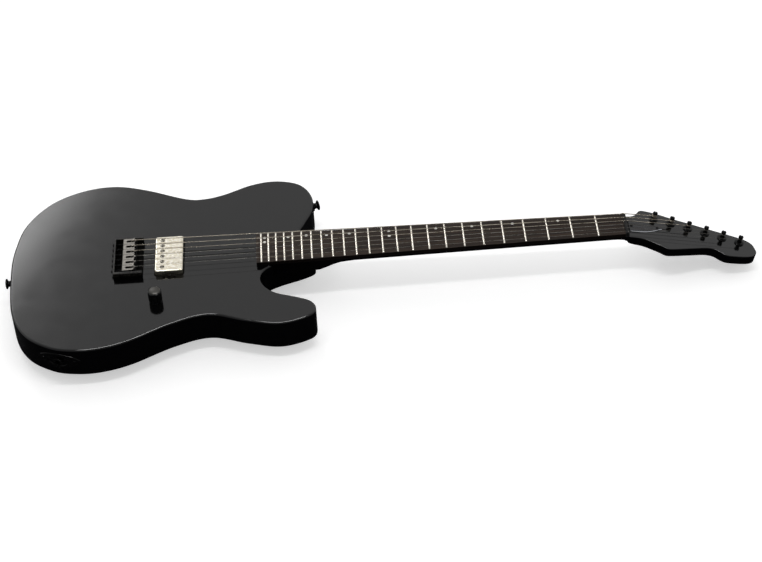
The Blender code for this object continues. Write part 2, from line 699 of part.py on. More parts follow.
# ---- tuners -------------------------------------------------------------------------------
def make_tuners(head):
    back = -HEAD_THICK - GAP
    offset = GEAR_R + WORM_R + GAP
    for i in range(STRING_COUNT):
        number = i + 1
        length, side = post_place(i)
        frame = frame_empty(f"tuner_frame_{number}", (length, side, 0),
                            Matrix.Rotation(math.atan2(ROW.y, ROW.x), 3, "Z"), head)
        case_outline = rounded_rectangle((-1.0, 1.5), (17.5, 19.0), 2.5, 1)
        case = prism(f"tuner_housing_{number}", case_outline, HOUSING_BOTTOM, back, "black_hardware", parent=frame)
        sleeve = ((0, -20), (BUSH_R, -20), (BUSH_R, GAP), (WASHER_R, GAP), (WASHER_R, 1.5), (5.8, 2.0), (0, 2.0))
        combine(case, revolve(f"tuner_sleeve_{number}_join", sleeve, 12, "black_hardware", parent=frame), "UNION")
        low, high = WORM_Z - GEAR_HALF - 0.5, WORM_Z + GEAR_HALF + 0.5
        hollow = ((0, low), (GEAR_R + RUN, low), (GEAR_R + RUN, high), (POST_R + RUN, high),
                  (POST_R + RUN, 5), (0, 5))
        combine(case, revolve(f"tuner_hollow_{number}_cut", hollow, 12, "dark_plastic", parent=frame), "DIFFERENCE")
        bore = [((-offset, -7.5, WORM_Z), (-offset, 14, WORM_Z), WORM_R + RUN)]
        combine(case, many_rods(f"worm_bore_{number}_cut", bore, 8, frame), "DIFFERENCE")

        post = ((0, WORM_Z - GEAR_HALF), (GEAR_R, WORM_Z - GEAR_HALF), (GEAR_R, WORM_Z + GEAR_HALF),
                (POST_R, WORM_Z + GEAR_HALF + 0.2),
                (POST_R, 3.6), (POST_WAIST, 4.3),
                (POST_WAIST, 8.0), (POST_R, 8.8), (POST_R, 10.6), (2.4, POST_TOP), (0, POST_TOP))
        revolve(f"tuner_post_{number}", post, 12, "black_hardware", parent=frame)
        make_button(number, frame, offset)


def make_button(number, frame, offset):
    """Oval grip and worm shaft in one piece, turning about the worm's axis."""
    sides = 8
    rings = []

    def ring(height, wide, thick):
        rings.append([(wide * math.cos(a), thick * math.sin(a), height)
                      for a in (2 * math.pi * k / sides for k in range(sides))])

    for height, radius in ((-7.0, WORM_R), (7.0, WORM_R), (7.5, 1.5), (16.6, 1.5), (16.8, 2.5), (18.0, 2.5)):
        ring(height, radius, radius)
    grip_middle, grip_half, grip_high, grip_thick = 25.0, 6.8, 6.0, 3.0
    for share in (-0.93, -0.6, 0.0, 0.6, 0.93):
        swell = math.sqrt(1 - share ** 2)
        ring(grip_middle + share * grip_half, grip_high * swell, grip_thick * swell ** 0.6)
    turn = facing((0, 1, 0))
    loft(f"tuner_button_{number}", rings, "black_hardware", place=(-offset, 0, WORM_Z), parent=frame, turn=turn)


# ---- pickup and controls ------------------------------------------------------------------
def make_pickup():
    centre = ((PICKUP_BACK + PICKUP_FRONT) / 2, 0)
    size = (PICKUP_FRONT - PICKUP_BACK, 2 * PICKUP_HALF)
    rim = 0.9
    layers = [(0, 40.0), (0, PICKUP_TOP - rim), (rim, PICKUP_TOP)]
    rings = []
    for inset, z in layers:
        outline = rounded_rectangle(centre, (size[0] - 2 * inset, size[1] - 2 * inset), 3.0 - inset)
        rings.append([(x, y, z) for x, y in outline])
    cover = loft("pickup_cover", rings, "aged_nickel")
    inner = rounded_rectangle(centre, (size[0] - 2 * PICKUP_WALL, size[1] - 2 * PICKUP_WALL), 2.3)
    hollow = prism("cover_hollow_cut", inner, 35.0, PICKUP_TOP - PICKUP_WALL, "dark_plastic")
    combine(cover, hollow, "DIFFERENCE")
    poles = [(POLE_X, string_y(i, POLE_PITCH)) for i in range(STRING_COUNT)]
    holes = [((x, y, 48), (x, y, 58), POLE_R + RUN) for x, y in poles]
    combine(cover, many_rods("pole_hole_cut", holes), "DIFFERENCE")

    bobbin = rounded_rectangle(centre, (size[0] - 3.0, size[1] - 3.0), 1.5, 2)
    base = prism("pickup_base", bobbin, 34.0, 51.0, "dark_plastic")
    plate = box("pickup_legs_join", (centre[0] - LEG_HALF, -LEG_REACH, 32.6),
                (centre[0] + LEG_HALF, LEG_REACH, 35.0), "dark_plastic")
    combine(base, plate, "UNION")
    screws = [((x, y, 45), (x, y, PICKUP_TOP + 0.3), POLE_R) for x, y in poles]
    combine(base, many_rods("pole_screw_join", screws, 10), "UNION")


def make_volume_control():
    place = (KNOB_X, KNOB_Y, 0)
    hollow, hollow_top = 6.9, 50.0
    knob = ((0, KNOB_TOP), (5.2, KNOB_TOP - 0.5), (7.9, KNOB_TOP - 1.9), (8.5, KNOB_TOP - 3.0),
            (KNOB_R, TOP + 0.6), (hollow, TOP + 0.6), (hollow, hollow_top), (SHAFT_R, hollow_top),
            (SHAFT_R, 29.0), (0, 29.0))
    revolve("volume_knob", knob, 18, "black_hardware", place=place)
    bore = SHAFT_R + RUN
    pot = ((0, 22), (11.8, 22), (11.8, 33), (BUSHING_R, 33.2), (BUSHING_R, TOP + GAP), (6.2, TOP + GAP),
           (6.2, 46.6), (BUSHING_R, 46.6), (BUSHING_R, 48.8), (bore, 48.8), (bore, 28.5), (0, 28.5))
    revolve("volume_pot", pot, 12, "steel", place=place)


def make_jack():
    k, side, out = side_frame(JACK_NEAR)
    place = (side.x, side.y, JACK_Z)
    jack = ((0, -22), (6, -22), (6, -5.5), (8, -5.5), (8, -3.4), (4.7, -3.4), (4.7, 1.9), (6.4, 1.9),
            (6.4, 4.2), (3.3, 4.2), (3.3, -20), (0, -20))
    revolve("output_jack", jack, 12, "steel", place=place, turn=facing(out))

    # The plate bends with the side: sections stand across it along the body's outline.
    count = len(BODY_CURVE)
    inner, outer = inward(BODY_CURVE, -GAP), inward(BODY_CURVE, -GAP - JACK_PLATE_THICK)
    half_length, half_height = JACK_PLATE_HALF
    reach = [0.0]
    for step in range(1, 8):
        a, b = BODY_CURVE[(k + step) % count], BODY_CURVE[(k + step - 1) % count]
        reach.append(reach[-1] + (a - b).length)
    rings = []
    for share in (-0.995, -0.93, -0.8, -0.55, -0.25, 0.0, 0.25, 0.55, 0.8, 0.93, 0.995):
        target = abs(share) * half_length
        step = next(n for n in range(1, 8) if reach[n] >= target)
        blend = (target - reach[step - 1]) / (reach[step] - reach[step - 1])
        sign = 1 if share > 0 else -1
        a, b = (k + sign * (step - 1)) % count, (k + sign * step) % count
        height = half_height * math.sqrt(1 - share ** 2)
        near, far = inner[a].lerp(inner[b], blend), outer[a].lerp(outer[b], blend)
        rings.append([(near.x, near.y, JACK_Z - height), (near.x, near.y, JACK_Z + height),
                      (far.x, far.y, JACK_Z + height), (far.x, far.y, JACK_Z - height)])
    plate = loft("jack_plate", rings, "black_hardware")
    middle = Vector(place)
    hole = rod_cutter("jack_plate_hole_cut", middle - out * 6, middle + out * 6, 5.2, 16)
    combine(plate, hole, "DIFFERENCE")


def make_strap_buttons():
    """Each button is one piece with the screw that holds it."""
    profile = ((0, -20), (1.5, -18), (1.5, GAP), (6.0, GAP), (3.6, 3.0), (3.4, 6.2), (6.8, 8.4),
               (7.0, 9.6), (5.4, 10.4), (0, 10.4))
    for name, near in (("strap_button_tail", TAIL_STRAP_NEAR), ("strap_button_horn", HORN_STRAP_NEAR)):
        _, side, out = side_frame(near)
        revolve(name, profile, 12, "black_hardware", place=(side.x, side.y, STRAP_Z), turn=facing(out))


def make_control_cover():
    size = (LEDGE_SIZE[0] - 0.8, LEDGE_SIZE[1] - 0.8)
    prism("control_cover", rounded_rectangle(CAVITY_CENTRE, size, 15.6), 0.0, LEDGE_DEPTH - GAP, "dark_plastic")


def build():
    clear_scene()
    tilt = Matrix.Rotation(HEAD_TILT, 3, "Y")
    head_origin = (HEAD_START, 0, NECK_TOP)
    head = frame_empty("headstock_frame", head_origin, tilt)
    head_matrix = Matrix.Translation(head_origin) @ tilt.to_4x4()
    make_body()
    make_neck(head)
    make_fingerboard()
    make_frets()
    make_nut()
    make_truss_rod(head)
    make_neck_plate()
    make_bridge()
    make_saddles()
    make_intonation_screws()
    make_strings(head_matrix)
    make_tuners(head)
    make_pickup()
    make_volume_control()
    make_jack()
    make_strap_buttons()
    make_control_cover()


build()
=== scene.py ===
"""Looks of a solid-body electric guitar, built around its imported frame.

Lengths are in millimetres in the frame's own axes, and MM turns them into metres.
X runs from the tail to the headstock, +Y is the bass side, Z = 0 is the back of the body.
"""

import math

import bmesh
import bpy
from mathutils import Matrix, Vector


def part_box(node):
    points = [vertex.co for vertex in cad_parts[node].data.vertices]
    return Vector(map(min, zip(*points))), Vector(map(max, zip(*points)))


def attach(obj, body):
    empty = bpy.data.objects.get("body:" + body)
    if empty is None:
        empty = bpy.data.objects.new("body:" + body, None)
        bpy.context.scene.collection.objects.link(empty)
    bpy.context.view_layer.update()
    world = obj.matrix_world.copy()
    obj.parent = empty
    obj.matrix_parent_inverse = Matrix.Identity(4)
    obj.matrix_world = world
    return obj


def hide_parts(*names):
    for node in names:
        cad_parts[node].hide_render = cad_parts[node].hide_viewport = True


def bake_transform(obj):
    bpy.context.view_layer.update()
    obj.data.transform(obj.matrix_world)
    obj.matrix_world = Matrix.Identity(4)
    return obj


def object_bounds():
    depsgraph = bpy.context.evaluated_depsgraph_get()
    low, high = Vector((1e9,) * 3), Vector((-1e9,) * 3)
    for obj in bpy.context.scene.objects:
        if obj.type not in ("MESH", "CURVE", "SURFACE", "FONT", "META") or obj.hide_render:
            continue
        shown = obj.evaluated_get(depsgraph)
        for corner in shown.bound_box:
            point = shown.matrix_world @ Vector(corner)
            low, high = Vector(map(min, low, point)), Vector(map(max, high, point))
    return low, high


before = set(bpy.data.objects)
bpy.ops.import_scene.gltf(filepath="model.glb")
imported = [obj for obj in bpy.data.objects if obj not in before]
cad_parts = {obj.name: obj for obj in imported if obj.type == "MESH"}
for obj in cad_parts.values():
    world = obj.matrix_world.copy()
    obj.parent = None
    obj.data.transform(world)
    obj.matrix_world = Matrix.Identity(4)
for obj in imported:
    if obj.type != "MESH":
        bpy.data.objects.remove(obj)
CAD_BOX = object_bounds()
MM = 0.001


def extent(node):
    """Lowest and highest corner of a CAD node at rest."""
    return [Vector(corner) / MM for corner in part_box(node)]


# ---- dimensions: from the frame where a node gives them -----------------------------------------
BODY_BOX = extent("body")
COVER_BOX = extent("pickup_cover")
TRAY_BOX = extent("bridge_plate")
SADDLE_BOX = extent("saddle_1")
KNOB_BOX = extent("volume_knob")
HATCH_BOX = extent("control_cover")
BOARD_BOX = extent("fingerboard")

SCALE = 648.0
FRET_COUNT = 24
STRINGS = 6
TOP = BODY_BOX[1].z
BOARD_END = BOARD_BOX[0].x
NUT_HALF = 20.9
BOARD_END_HALF = BOARD_BOX[1].y
BOARD_TOP = 52.0
BOARD_RADIUS = 350.0
NECK_TOP = 46.0
HEEL_DEPTH = 18.0
FRET_TOP = 53.45
HEAD_START = 653.0
HEAD_TILT = math.radians(12.0)
HEAD_THICK = 14.3
PICKUP = (COVER_BOX[0].x, COVER_BOX[1].x, COVER_BOX[1].y, COVER_BOX[1].z)
POLE_X = 30.4
POLE_PITCH = 10.6
BRIDGE = (TRAY_BOX[0].x, TRAY_BOX[1].x, TRAY_BOX[1].y)
BRIDGE_FLOOR = 46.0
BRIDGE_TOP = TRAY_BOX[1].z
PITCH_BRIDGE = 10.5
PITCH_NUT = 7.1
STRING_RADII = (0.58, 0.46, 0.33, 0.22, 0.17, 0.13)
STRING_HOLE_X = -12.5
SADDLE = (SADDLE_BOX[0].x, SADDLE_BOX[1].x)
INTONATION_Z = 49.5
HEIGHT_SCREW_X = -5.6
HEIGHT_SCREW_HALF = 3.3
SPRING_R = 2.0
KNOB = ((KNOB_BOX[0] + KNOB_BOX[1]) / 2).to_2d()
KNOB_R = (KNOB_BOX[1].x - KNOB_BOX[0].x) / 2
KNOB_TOP = KNOB_BOX[1].z
CAVITY_CENTRE = ((HATCH_BOX[0] + HATCH_BOX[1]) / 2).to_2d()
JACK_NEAR = (-98.0, -163.5)
JACK_Z = 24.5
TAIL_STRAP_NEAR = (-175.0, -5.0)
HORN_STRAP_NEAR = (236.0, 111.0)
STRAP_Z = 22.0
POST_FIRST = (40.0, 21.0)
POST_STEP = (22.9, -6.6)
WORM_Z = -HEAD_THICK - 8.0
WORM_OFFSET = 6.6
PLATE_SCREWS = ((167.5, -15.5), (167.5, 17.5), (205.0, 17.5), (204.0, -7.6))
ROD_AXIS = 41.0

BODY_NODES = (
    (-172.3, -6.0), (-169.5, 42.0), (-157.5, 88.5), (-126.3, 130.5), (-84.3, 153.6),
    (-40.0, 159.4), (4.0, 147.4), (58.0, 123.0), (84.0, 119.8), (112.0, 126.8),
    (150.0, 143.8), (184.0, 148.6), (216.0, 138.2), (232.0, 113.0), (233.0, 82.0),
    (221.0, 53.0), (214.0, 36.0), (221.0, 20.0), (230.5, 6.0), (231.0, -5.0),
    (213.0, -14.5), (186.0, -24.0), (168.0, -34.0), (160.4, -48.0), (163.5, -64.0),
    (178.0, -80.0), (207.0, -91.8), (224.5, -101.0), (230.8, -115.0), (222.5, -129.8),
    (184.0, -140.9), (140.0, -131.2), (92.0, -115.7), (45.0, -127.6), (-10.0, -155.0),
    (-47.0, -165.8), (-80.0, -166.7), (-113.0, -158.0), (-146.5, -131.5), (-166.0, -85.0),
)
HEAD_BASS = (
    (0.0, 21.0), (8.0, 22.6), (14.0, 25.6), (18.5, 31.5), (22.0, 36.0), (28.0, 37.3),
    (45.0, 33.9), (67.0, 26.3), (91.5, 19.1), (118.0, 10.9), (145.0, 2.8), (160.0, -2.2),
    (168.5, -7.2), (173.5, -13.5), (176.0, -24.5),
)
HEAD_TREBLE = (
    (0.0, -21.0), (14.5, -21.6), (25.0, -24.6), (34.0, -29.0), (43.0, -33.8), (49.0, -37.6),
    (56.0, -38.6), (82.0, -33.6), (103.5, -29.4), (113.0, -29.2), (120.0, -31.6),
    (126.0, -36.8), (132.0, -40.4), (140.0, -41.2), (157.5, -40.2), (168.0, -37.6),
    (173.5, -33.4), (176.0, -28.4),
)
COVER_PROFILE = (
    (0.8, 11.0), (20.0, 10.0), (30.0, 8.3), (37.0, 6.0), (43.0, 3.0), (47.0, 1.6), (48.6, 0.7),
)
COVER_Y = 0.8
COVER_SCREW_X = 41.5
PLATE_OUTLINE = (
    (161.0, -22.0), (178.0, -22.0), (208.0, -11.5), (218.0, -8.0), (218.0, 12.0),
    (210.0, 24.0), (161.0, 24.0),
)

HEAD = Matrix.Translation((HEAD_START, 0, NECK_TOP)) @ Matrix.Rotation(HEAD_TILT, 4, "Y")
REST = Matrix.Identity(4)


# ---- materials -------------------------------------------------------------------------------
def put(tree, socket, value):
    """Sets a socket from another socket, or from a plain number or colour."""
    if isinstance(value, bpy.types.NodeSocket):
        tree.links.new(value, socket)
    elif isinstance(value, (tuple, list)) and len(value) == 3 and socket.type == "RGBA":
        socket.default_value = (*value, 1.0)
    else:
        socket.default_value = value


def calc(tree, operation, a, b=0.0, clamp=False):
    node = tree.nodes.new("ShaderNodeMath")
    node.operation = operation
    node.use_clamp = clamp
    put(tree, node.inputs[0], a)
    put(tree, node.inputs[1], b)
    return node.outputs[0]


def times(tree, a, b):
    return calc(tree, "MULTIPLY", a, b)


def coords(tree, scale=(1, 1, 1)):
    """Place on the object, in metres, stretched per axis."""
    source = tree.nodes.new("ShaderNodeTexCoord")
    mapping = tree.nodes.new("ShaderNodeMapping")
    mapping.inputs["Scale"].default_value = scale
    tree.links.new(source.outputs["Object"], mapping.inputs["Vector"])
    return mapping.outputs["Vector"]


def noise(tree, scale, detail=4.0, stretch=(1, 1, 1), distortion=0.0):
    node = tree.nodes.new("ShaderNodeTexNoise")
    tree.links.new(coords(tree, stretch), node.inputs["Vector"])
    node.inputs["Scale"].default_value = scale
    node.inputs["Detail"].default_value = detail
    node.inputs["Distortion"].default_value = distortion
    return node.outputs["Fac"]


def spread(tree, value, low, high, out_low=0.0, out_high=1.0):
    """Value mapped from low..high to out_low..out_high, held at the ends."""
    node = tree.nodes.new("ShaderNodeMapRange")
    put(tree, node.inputs["Value"], value)
    node.inputs["From Min"].default_value = low
    node.inputs["From Max"].default_value = high
    node.inputs["To Min"].default_value = out_low
    node.inputs["To Max"].default_value = out_high
    return node.outputs["Result"]


def blend(tree, share, a, b, kind="MIX"):
    node = tree.nodes.new("ShaderNodeMix")
    node.data_type = "RGBA"
    node.blend_type = kind
    put(tree, node.inputs[0], share)
    put(tree, node.inputs[6], a)
    put(tree, node.inputs[7], b)
    return node.outputs[2]


def bump(tree, height, strength, depth):
    node = tree.nodes.new("ShaderNodeBump")
    node.inputs["Strength"].default_value = strength
    node.inputs["Distance"].default_value = depth
    put(tree, node.inputs["Height"], height)
    return node.outputs["Normal"]


def edges(tree, low=0.505, high=0.56):
    """One on the outer edges of a dense mesh, nothing on its flats."""
    geometry = tree.nodes.new("ShaderNodeNewGeometry")
    return spread(tree, geometry.outputs["Pointiness"], low, high)


def part_of(tree, kind, output, axis):
    """One axis of an output of a new node of this kind."""
    source = tree.nodes.new(kind)
    split = tree.nodes.new("ShaderNodeSeparateXYZ")
    tree.links.new(source.outputs[output], split.inputs[0])
    return split.outputs[axis]


def facing_up(tree):
    """How far the surface looks up, from -1 to 1."""
    return part_of(tree, "ShaderNodeNewGeometry", "Normal", "Z")


def new_material(name):
    made = bpy.data.materials.new(name)
    made.use_nodes = True
    return made, made.node_tree, made.node_tree.nodes["Principled BSDF"].inputs


def opened(made):
    """A finish's tree, its shader's inputs and the colour that reaches them."""
    inputs = made.node_tree.nodes["Principled BSDF"].inputs
    return made.node_tree, inputs, inputs["Base Color"].links[0].from_socket


def surface(name, colour, rough, metal=0.0, specular=0.5, mottle=0.12, smudge=0.06,
            grain=2200.0, relief=0.12, depth=0.00004, stretch=(1, 1, 1), wear=0.0,
            worn=(0.35, 0.34, 0.33)):
    """A finish with broad colour mottle, smudged roughness, fine relief and worn edges."""
    made, tree, inputs = new_material(name)
    broad = noise(tree, 38.0, 3.0)
    fine = noise(tree, grain, 5.0, stretch)
    light = tuple(min(1.0, c * (1 + mottle)) for c in colour)
    dark = tuple(c * (1 - mottle) for c in colour)
    base = blend(tree, spread(tree, broad, 0.3, 0.7), dark, light)
    base = blend(tree, spread(tree, fine, 0.25, 0.75, 0.0, mottle), base, dark)
    if wear:
        patchy = times(tree, edges(tree), spread(tree, noise(tree, 420.0, 4.0), 0.42, 0.62))
        base = blend(tree, calc(tree, "MULTIPLY", patchy, wear, True), base, worn)
    put(tree, inputs["Base Color"], base)
    uneven = calc(tree, "ADD", rough, spread(tree, broad, 0.3, 0.7, -smudge, smudge))
    uneven = calc(tree, "ADD", uneven, spread(tree, fine, 0.3, 0.7, -smudge * 0.4, smudge * 0.4), True)
    put(tree, inputs["Roughness"], uneven)
    put(tree, inputs["Metallic"], metal)
    put(tree, inputs["Specular IOR Level"], specular)
    put(tree, inputs["Normal"], bump(tree, fine, relief, depth))
    return made


def lacquer(name):
    """Black semi-gloss lacquer: even and faintly dusty where it looks up; its sides get a painted shade,
    darker in colour and less shiny.
    """
    made = surface(name, (0.0014, 0.0014, 0.0015), 0.10, specular=0.5, mottle=0.05, smudge=0.012,
                   grain=2600.0, relief=0.035, depth=0.00001)
    tree, inputs, base = opened(made)
    up = facing_up(tree)
    face = spread(tree, up, 0.50, 0.90)
    specks = spread(tree, noise(tree, 700.0, 2.0), 0.70, 0.80, 0.0, 0.04)
    dusty = blend(tree, times(tree, specks, face), base, (0.16, 0.155, 0.15))
    # Painted shade: surfaces that don't look up get a near-black colour and less shine; the dust specks stay
    # on the top only.
    put(tree, inputs["Base Color"], blend(tree, face, (0.0009, 0.0009, 0.0012), dusty))
    put(tree, inputs["Specular IOR Level"], spread(tree, up, 0.10, 0.70, 0.17, 0.5))
    return made


def rosewood(name):
    """Dark oiled wood with streaks and open pores that run along the neck; its sides get a painted shade,
    near-black and less shiny.
    """
    made, tree, inputs = new_material(name)
    streak = noise(tree, 260.0, 6.0, (0.05, 1.0, 1.0), 0.4)
    figure = noise(tree, 55.0, 3.0, (0.12, 1.0, 1.0), 1.2)
    pores = noise(tree, 1500.0, 3.0, (0.035, 1.0, 1.0))
    streaks = spread(tree, streak, 0.32, 0.68)
    wood = blend(tree, streaks, (0.0085, 0.0056, 0.0040), (0.058, 0.038, 0.026))
    wood = blend(tree, spread(tree, figure, 0.35, 0.7, 0.0, 0.65), wood, (0.019, 0.0115, 0.0083))
    pore = spread(tree, pores, 0.60, 0.70)
    wood = blend(tree, times(tree, pore, 0.8), wood, (0.008, 0.005, 0.004))
    # Painted shade: the board's sides are dimmed to near-black and their shine cut back.
    shade = spread(tree, facing_up(tree), 0.3, 0.9, 0.06, 0.85)
    put(tree, inputs["Base Color"], blend(tree, shade, (0.004, 0.003, 0.003), wood))
    put(tree, inputs["Roughness"], spread(tree, streak, 0.3, 0.7, 0.50, 0.34))
    height = calc(tree, "SUBTRACT", times(tree, streak, 0.4), pore)
    put(tree, inputs["Normal"], bump(tree, height, 0.35, 0.00012))
    put(tree, inputs["Specular IOR Level"], times(tree, shade, 0.16))
    return made


def aged_cover(name):
    """Warm worn nickel: hairline scratches both ways, small pits and pale rubbed patches; it darkens where it
    turns away from the top, a painted shade.
    """
    made, tree, inputs = new_material(name)
    stain = noise(tree, 420.0, 6.0, (0.55, 1.0, 1), 0.6)
    hair = noise(tree, 1300.0, 5.0, (1.0, 0.07, 1.0))
    along = noise(tree, 1300.0, 5.0, (0.07, 1.0, 1.0))
    pits = noise(tree, 1500.0, 2.0)
    metal = blend(tree, spread(tree, stain, 0.36, 0.60), (0.66, 0.60, 0.46), (0.84, 0.80, 0.70))
    rubbed = spread(tree, hair, 0.54, 0.70, 0.0, 0.6)
    metal = blend(tree, rubbed, metal, (0.90, 0.87, 0.79))
    line = spread(tree, along, 0.60, 0.74, 0.0, 0.5)
    metal = blend(tree, line, metal, (0.52, 0.44, 0.30))
    pit = spread(tree, pits, 0.64, 0.74, 0.0, 0.5)
    metal = blend(tree, pit, metal, (0.28, 0.22, 0.14))
    # Painted shade: the cover darkens to brown-black where it turns away from the top.
    low = calc(tree, "SUBTRACT", 1.0, spread(tree, facing_up(tree), -0.1, 0.45))
    metal = blend(tree, times(tree, low, 0.55), metal, (0.16, 0.14, 0.08))
    put(tree, inputs["Base Color"], metal)
    put(tree, inputs["Metallic"], spread(tree, stain, 0.3, 0.7, 0.95, 0.86))
    put(tree, inputs["Roughness"], spread(tree, stain, 0.3, 0.7, 0.14, 0.24))
    height = calc(tree, "SUBTRACT", times(tree, hair, 0.4), pit)
    put(tree, inputs["Normal"], bump(tree, height, 0.22, 0.00005))
    return made


def wound_wire(name, colour, pitch):
    """Round-wound string: ridges of the winding across a core, with dull and bright stretches."""
    made = surface(name, colour, 0.30, 1.0, mottle=0.25, smudge=0.08, grain=1200.0)
    tree, inputs, _ = opened(made)
    wave = tree.nodes.new("ShaderNodeTexWave")
    tree.links.new(coords(tree), wave.inputs["Vector"])
    wave.inputs["Scale"].default_value = 1.0 / (pitch * MM) / 3.2
    put(tree, inputs["Normal"], bump(tree, wave.outputs["Fac"], 0.6, 0.00008))
    return made


def paint_shade_below(made, low, high, share, specular=0.5, dark=(0.002, 0.002, 0.002), floor_up=0.1):
    """Paints shade into a finish: dims its colour and shine towards height low, and its shine on its sides.
    """
    tree, inputs, base = opened(made)
    height = part_of(tree, "ShaderNodeTexCoord", "Object", "Z")
    level = spread(tree, height, low * MM, high * MM, share, 1.0)
    put(tree, inputs["Base Color"], blend(tree, level, dark, base))
    shine = times(tree, level, spread(tree, facing_up(tree), 0.1, 0.7, floor_up, 1.0))
    put(tree, inputs["Specular IOR Level"], times(tree, shine, specular))
    return made


def paint_side_shade(made, dark=(0.012, 0.012, 0.012)):
    """Paints shade into a finish: dims its colour wherever the surface doesn't look up."""
    tree, inputs, base = opened(made)
    put(tree, inputs["Base Color"], blend(tree, spread(tree, facing_up(tree), 0.35, 0.80), dark, base))
    return made


DEEP_BLACK = (0.0014, 0.0014, 0.0016)
LOOKS = {
    "lacquer": lacquer("satin_black_lacquer"),
    "rosewood": rosewood("dark_rosewood"),
    "fret": surface("fret_nickel_silver", (0.93, 0.885, 0.79), 0.22, 1.0, mottle=0.05, smudge=0.06,
                    grain=900.0, relief=0.08, stretch=(1.0, 0.08, 1.0)),
    "nut": surface("nut_black_composite", (0.008, 0.008, 0.008), 0.34, specular=0.15, mottle=0.2),
    "steel": surface("plain_steel", (0.55, 0.55, 0.54), 0.30, 1.0, grain=1500.0, stretch=(1, 0.2, 1)),
    "plastic": surface("black_plastic", (0.010, 0.010, 0.011), 0.24, mottle=0.15, relief=0.15, grain=1600.0),
    "white_ply": surface("pale_middle_ply", (0.62, 0.64, 0.68), 0.4, mottle=0.06),
    "black": surface("black_plated_metal", (0.0022, 0.0022, 0.0025), 0.22, specular=0.15, smudge=0.06,
                     wear=0.08, worn=(0.12, 0.115, 0.11), grain=1800.0),
    # Painted shade: the bridge darkens towards its tray floor and loses shine on its sides.
    "bridge": paint_shade_below(surface("black_cast_bridge", (0.0025, 0.0024, 0.0023), 0.40, mottle=0.4, smudge=0.16,
                                 grain=900.0, relief=0.7, depth=0.00012, wear=0.3, worn=(0.13, 0.115, 0.10)),
                         47.0, 53.2, 0.03, 0.20),
    "dark": surface("deep_black_metal", (0.003, 0.003, 0.0032), 0.20, specular=0.12, smudge=0.05,
                    grain=1800.0),
    "post": surface("black_plated_post", DEEP_BLACK, 0.16, specular=0.06, smudge=0.04, grain=1800.0),
    "jack": surface("glossy_black_plating", DEEP_BLACK, 0.12, specular=0.17, smudge=0.04, grain=1800.0,
                    relief=0.05),
    "knob": surface("black_knurled_metal", DEEP_BLACK, 0.20, specular=0.12, smudge=0.05, wear=0.3,
                    worn=(0.22, 0.22, 0.23)),
    "dome": surface("satin_dark_chrome", (0.062, 0.060, 0.056), 0.40, 1.0, mottle=0.08, smudge=0.04,
                    grain=1400.0, relief=0.06),
    # Painted shade: the saddles are dimmed wherever they don't look up.
    "saddle": paint_side_shade(surface("satin_grey_metal", (0.125, 0.118, 0.108), 0.32, 1.0, mottle=0.25,
                                 smudge=0.08, wear=0.5, worn=(0.27, 0.255, 0.23), grain=1300.0, relief=0.3)),
    # Painted shade: the pickup cover darkens towards its lower edge.
    "cover": paint_shade_below(aged_cover("aged_nickel_cover"), 40.0, 50.0, 0.55, dark=(0.05, 0.045, 0.03),
                        floor_up=1.0),
    "pole": surface("worn_pole_steel", (0.42, 0.39, 0.33), 0.30, 1.0, mottle=0.2),
    "bobbin": surface("dark_bobbin_plastic", (0.006, 0.006, 0.006), 0.5, specular=0.2),
    "wound": wound_wire("wound_nickel_string", (0.34, 0.305, 0.25), 0.32),
    "plain": surface("plain_steel_string", (0.18, 0.172, 0.155), 0.30, 1.0, mottle=0.15, grain=1200.0),
    "pearl": surface("pale_marker", (0.82, 0.81, 0.76), 0.30, mottle=0.08, grain=600.0),
}


# ---- mesh helpers ----------------------------------------------------------------------------
def piece(name, points, faces, look, place=REST, sharp=32.0):
    """One closed mesh from points in millimetres, faces outwards, smooth except at sharp edges."""
    mesh = bpy.data.meshes.new(name)
    mesh.from_pydata([(place @ Vector(p)) * MM for p in points], [], faces)
    work = bmesh.new()
    work.from_mesh(mesh)
    bmesh.ops.recalc_face_normals(work, faces=work.faces)
    work.to_mesh(mesh)
    work.free()
    mesh.materials.append(LOOKS[look])
    obj = bpy.data.objects.new(name, mesh)
    obj["sharp"] = sharp
    bpy.context.scene.collection.objects.link(obj)
    return obj


def ring_faces(count, size, looped=False):
    """Faces between rings of points; the last ring meets the first, or both ends are closed."""
    faces = []
    for ring in range(count if looped else count - 1):
        here, there = ring * size, (ring + 1) % count * size
        for k in range(size):
            nxt = (k + 1) % size
            faces.append((here + k, here + nxt, there + nxt, there + k))
    if not looped:
        faces.append(tuple(range(size)))
        faces.append(tuple((count - 1) * size + k for k in range(size)))
    return faces


def loft(name, rings, look, looped=False, **where):
    points = [p for ring in rings for p in ring]
    return piece(name, points, ring_faces(len(rings), len(rings[0]), looped), look, **where)


def circle(sides):
    return [2 * math.pi * k / sides for k in range(sides)]


def hexagon(radius, turn=0.0):
    angles = [math.pi * (k + turn) / 3 for k in range(6)]
    return [(radius * math.cos(a), radius * math.sin(a)) for a in angles]


def revolve(name, profile, segments, look, ripple=None, **where):
    """A profile of (radius, height) turned about Z; ripple(k, height) adds to the radius."""
    points, faces, rings = [], [], []
    for radius, height in profile:
        if radius == 0:
            rings.append([len(points)])
            points.append((0.0, 0.0, height))
            continue
        rings.append(list(range(len(points), len(points) + segments)))
        for k in range(segments):
            angle = 2 * math.pi * k / segments
            r = radius + (ripple(k, height) if ripple else 0.0)
            points.append((r * math.cos(angle), r * math.sin(angle), height))
    for a, b in zip(rings, rings[1:]):
        for k in range(segments):
            nxt = (k + 1) % segments
            corners = (a[k % len(a)], a[nxt % len(a)], b[nxt % len(b)], b[k % len(b)])
            faces.append(tuple(dict.fromkeys(corners)))
    return piece(name, points, faces, look, **where)


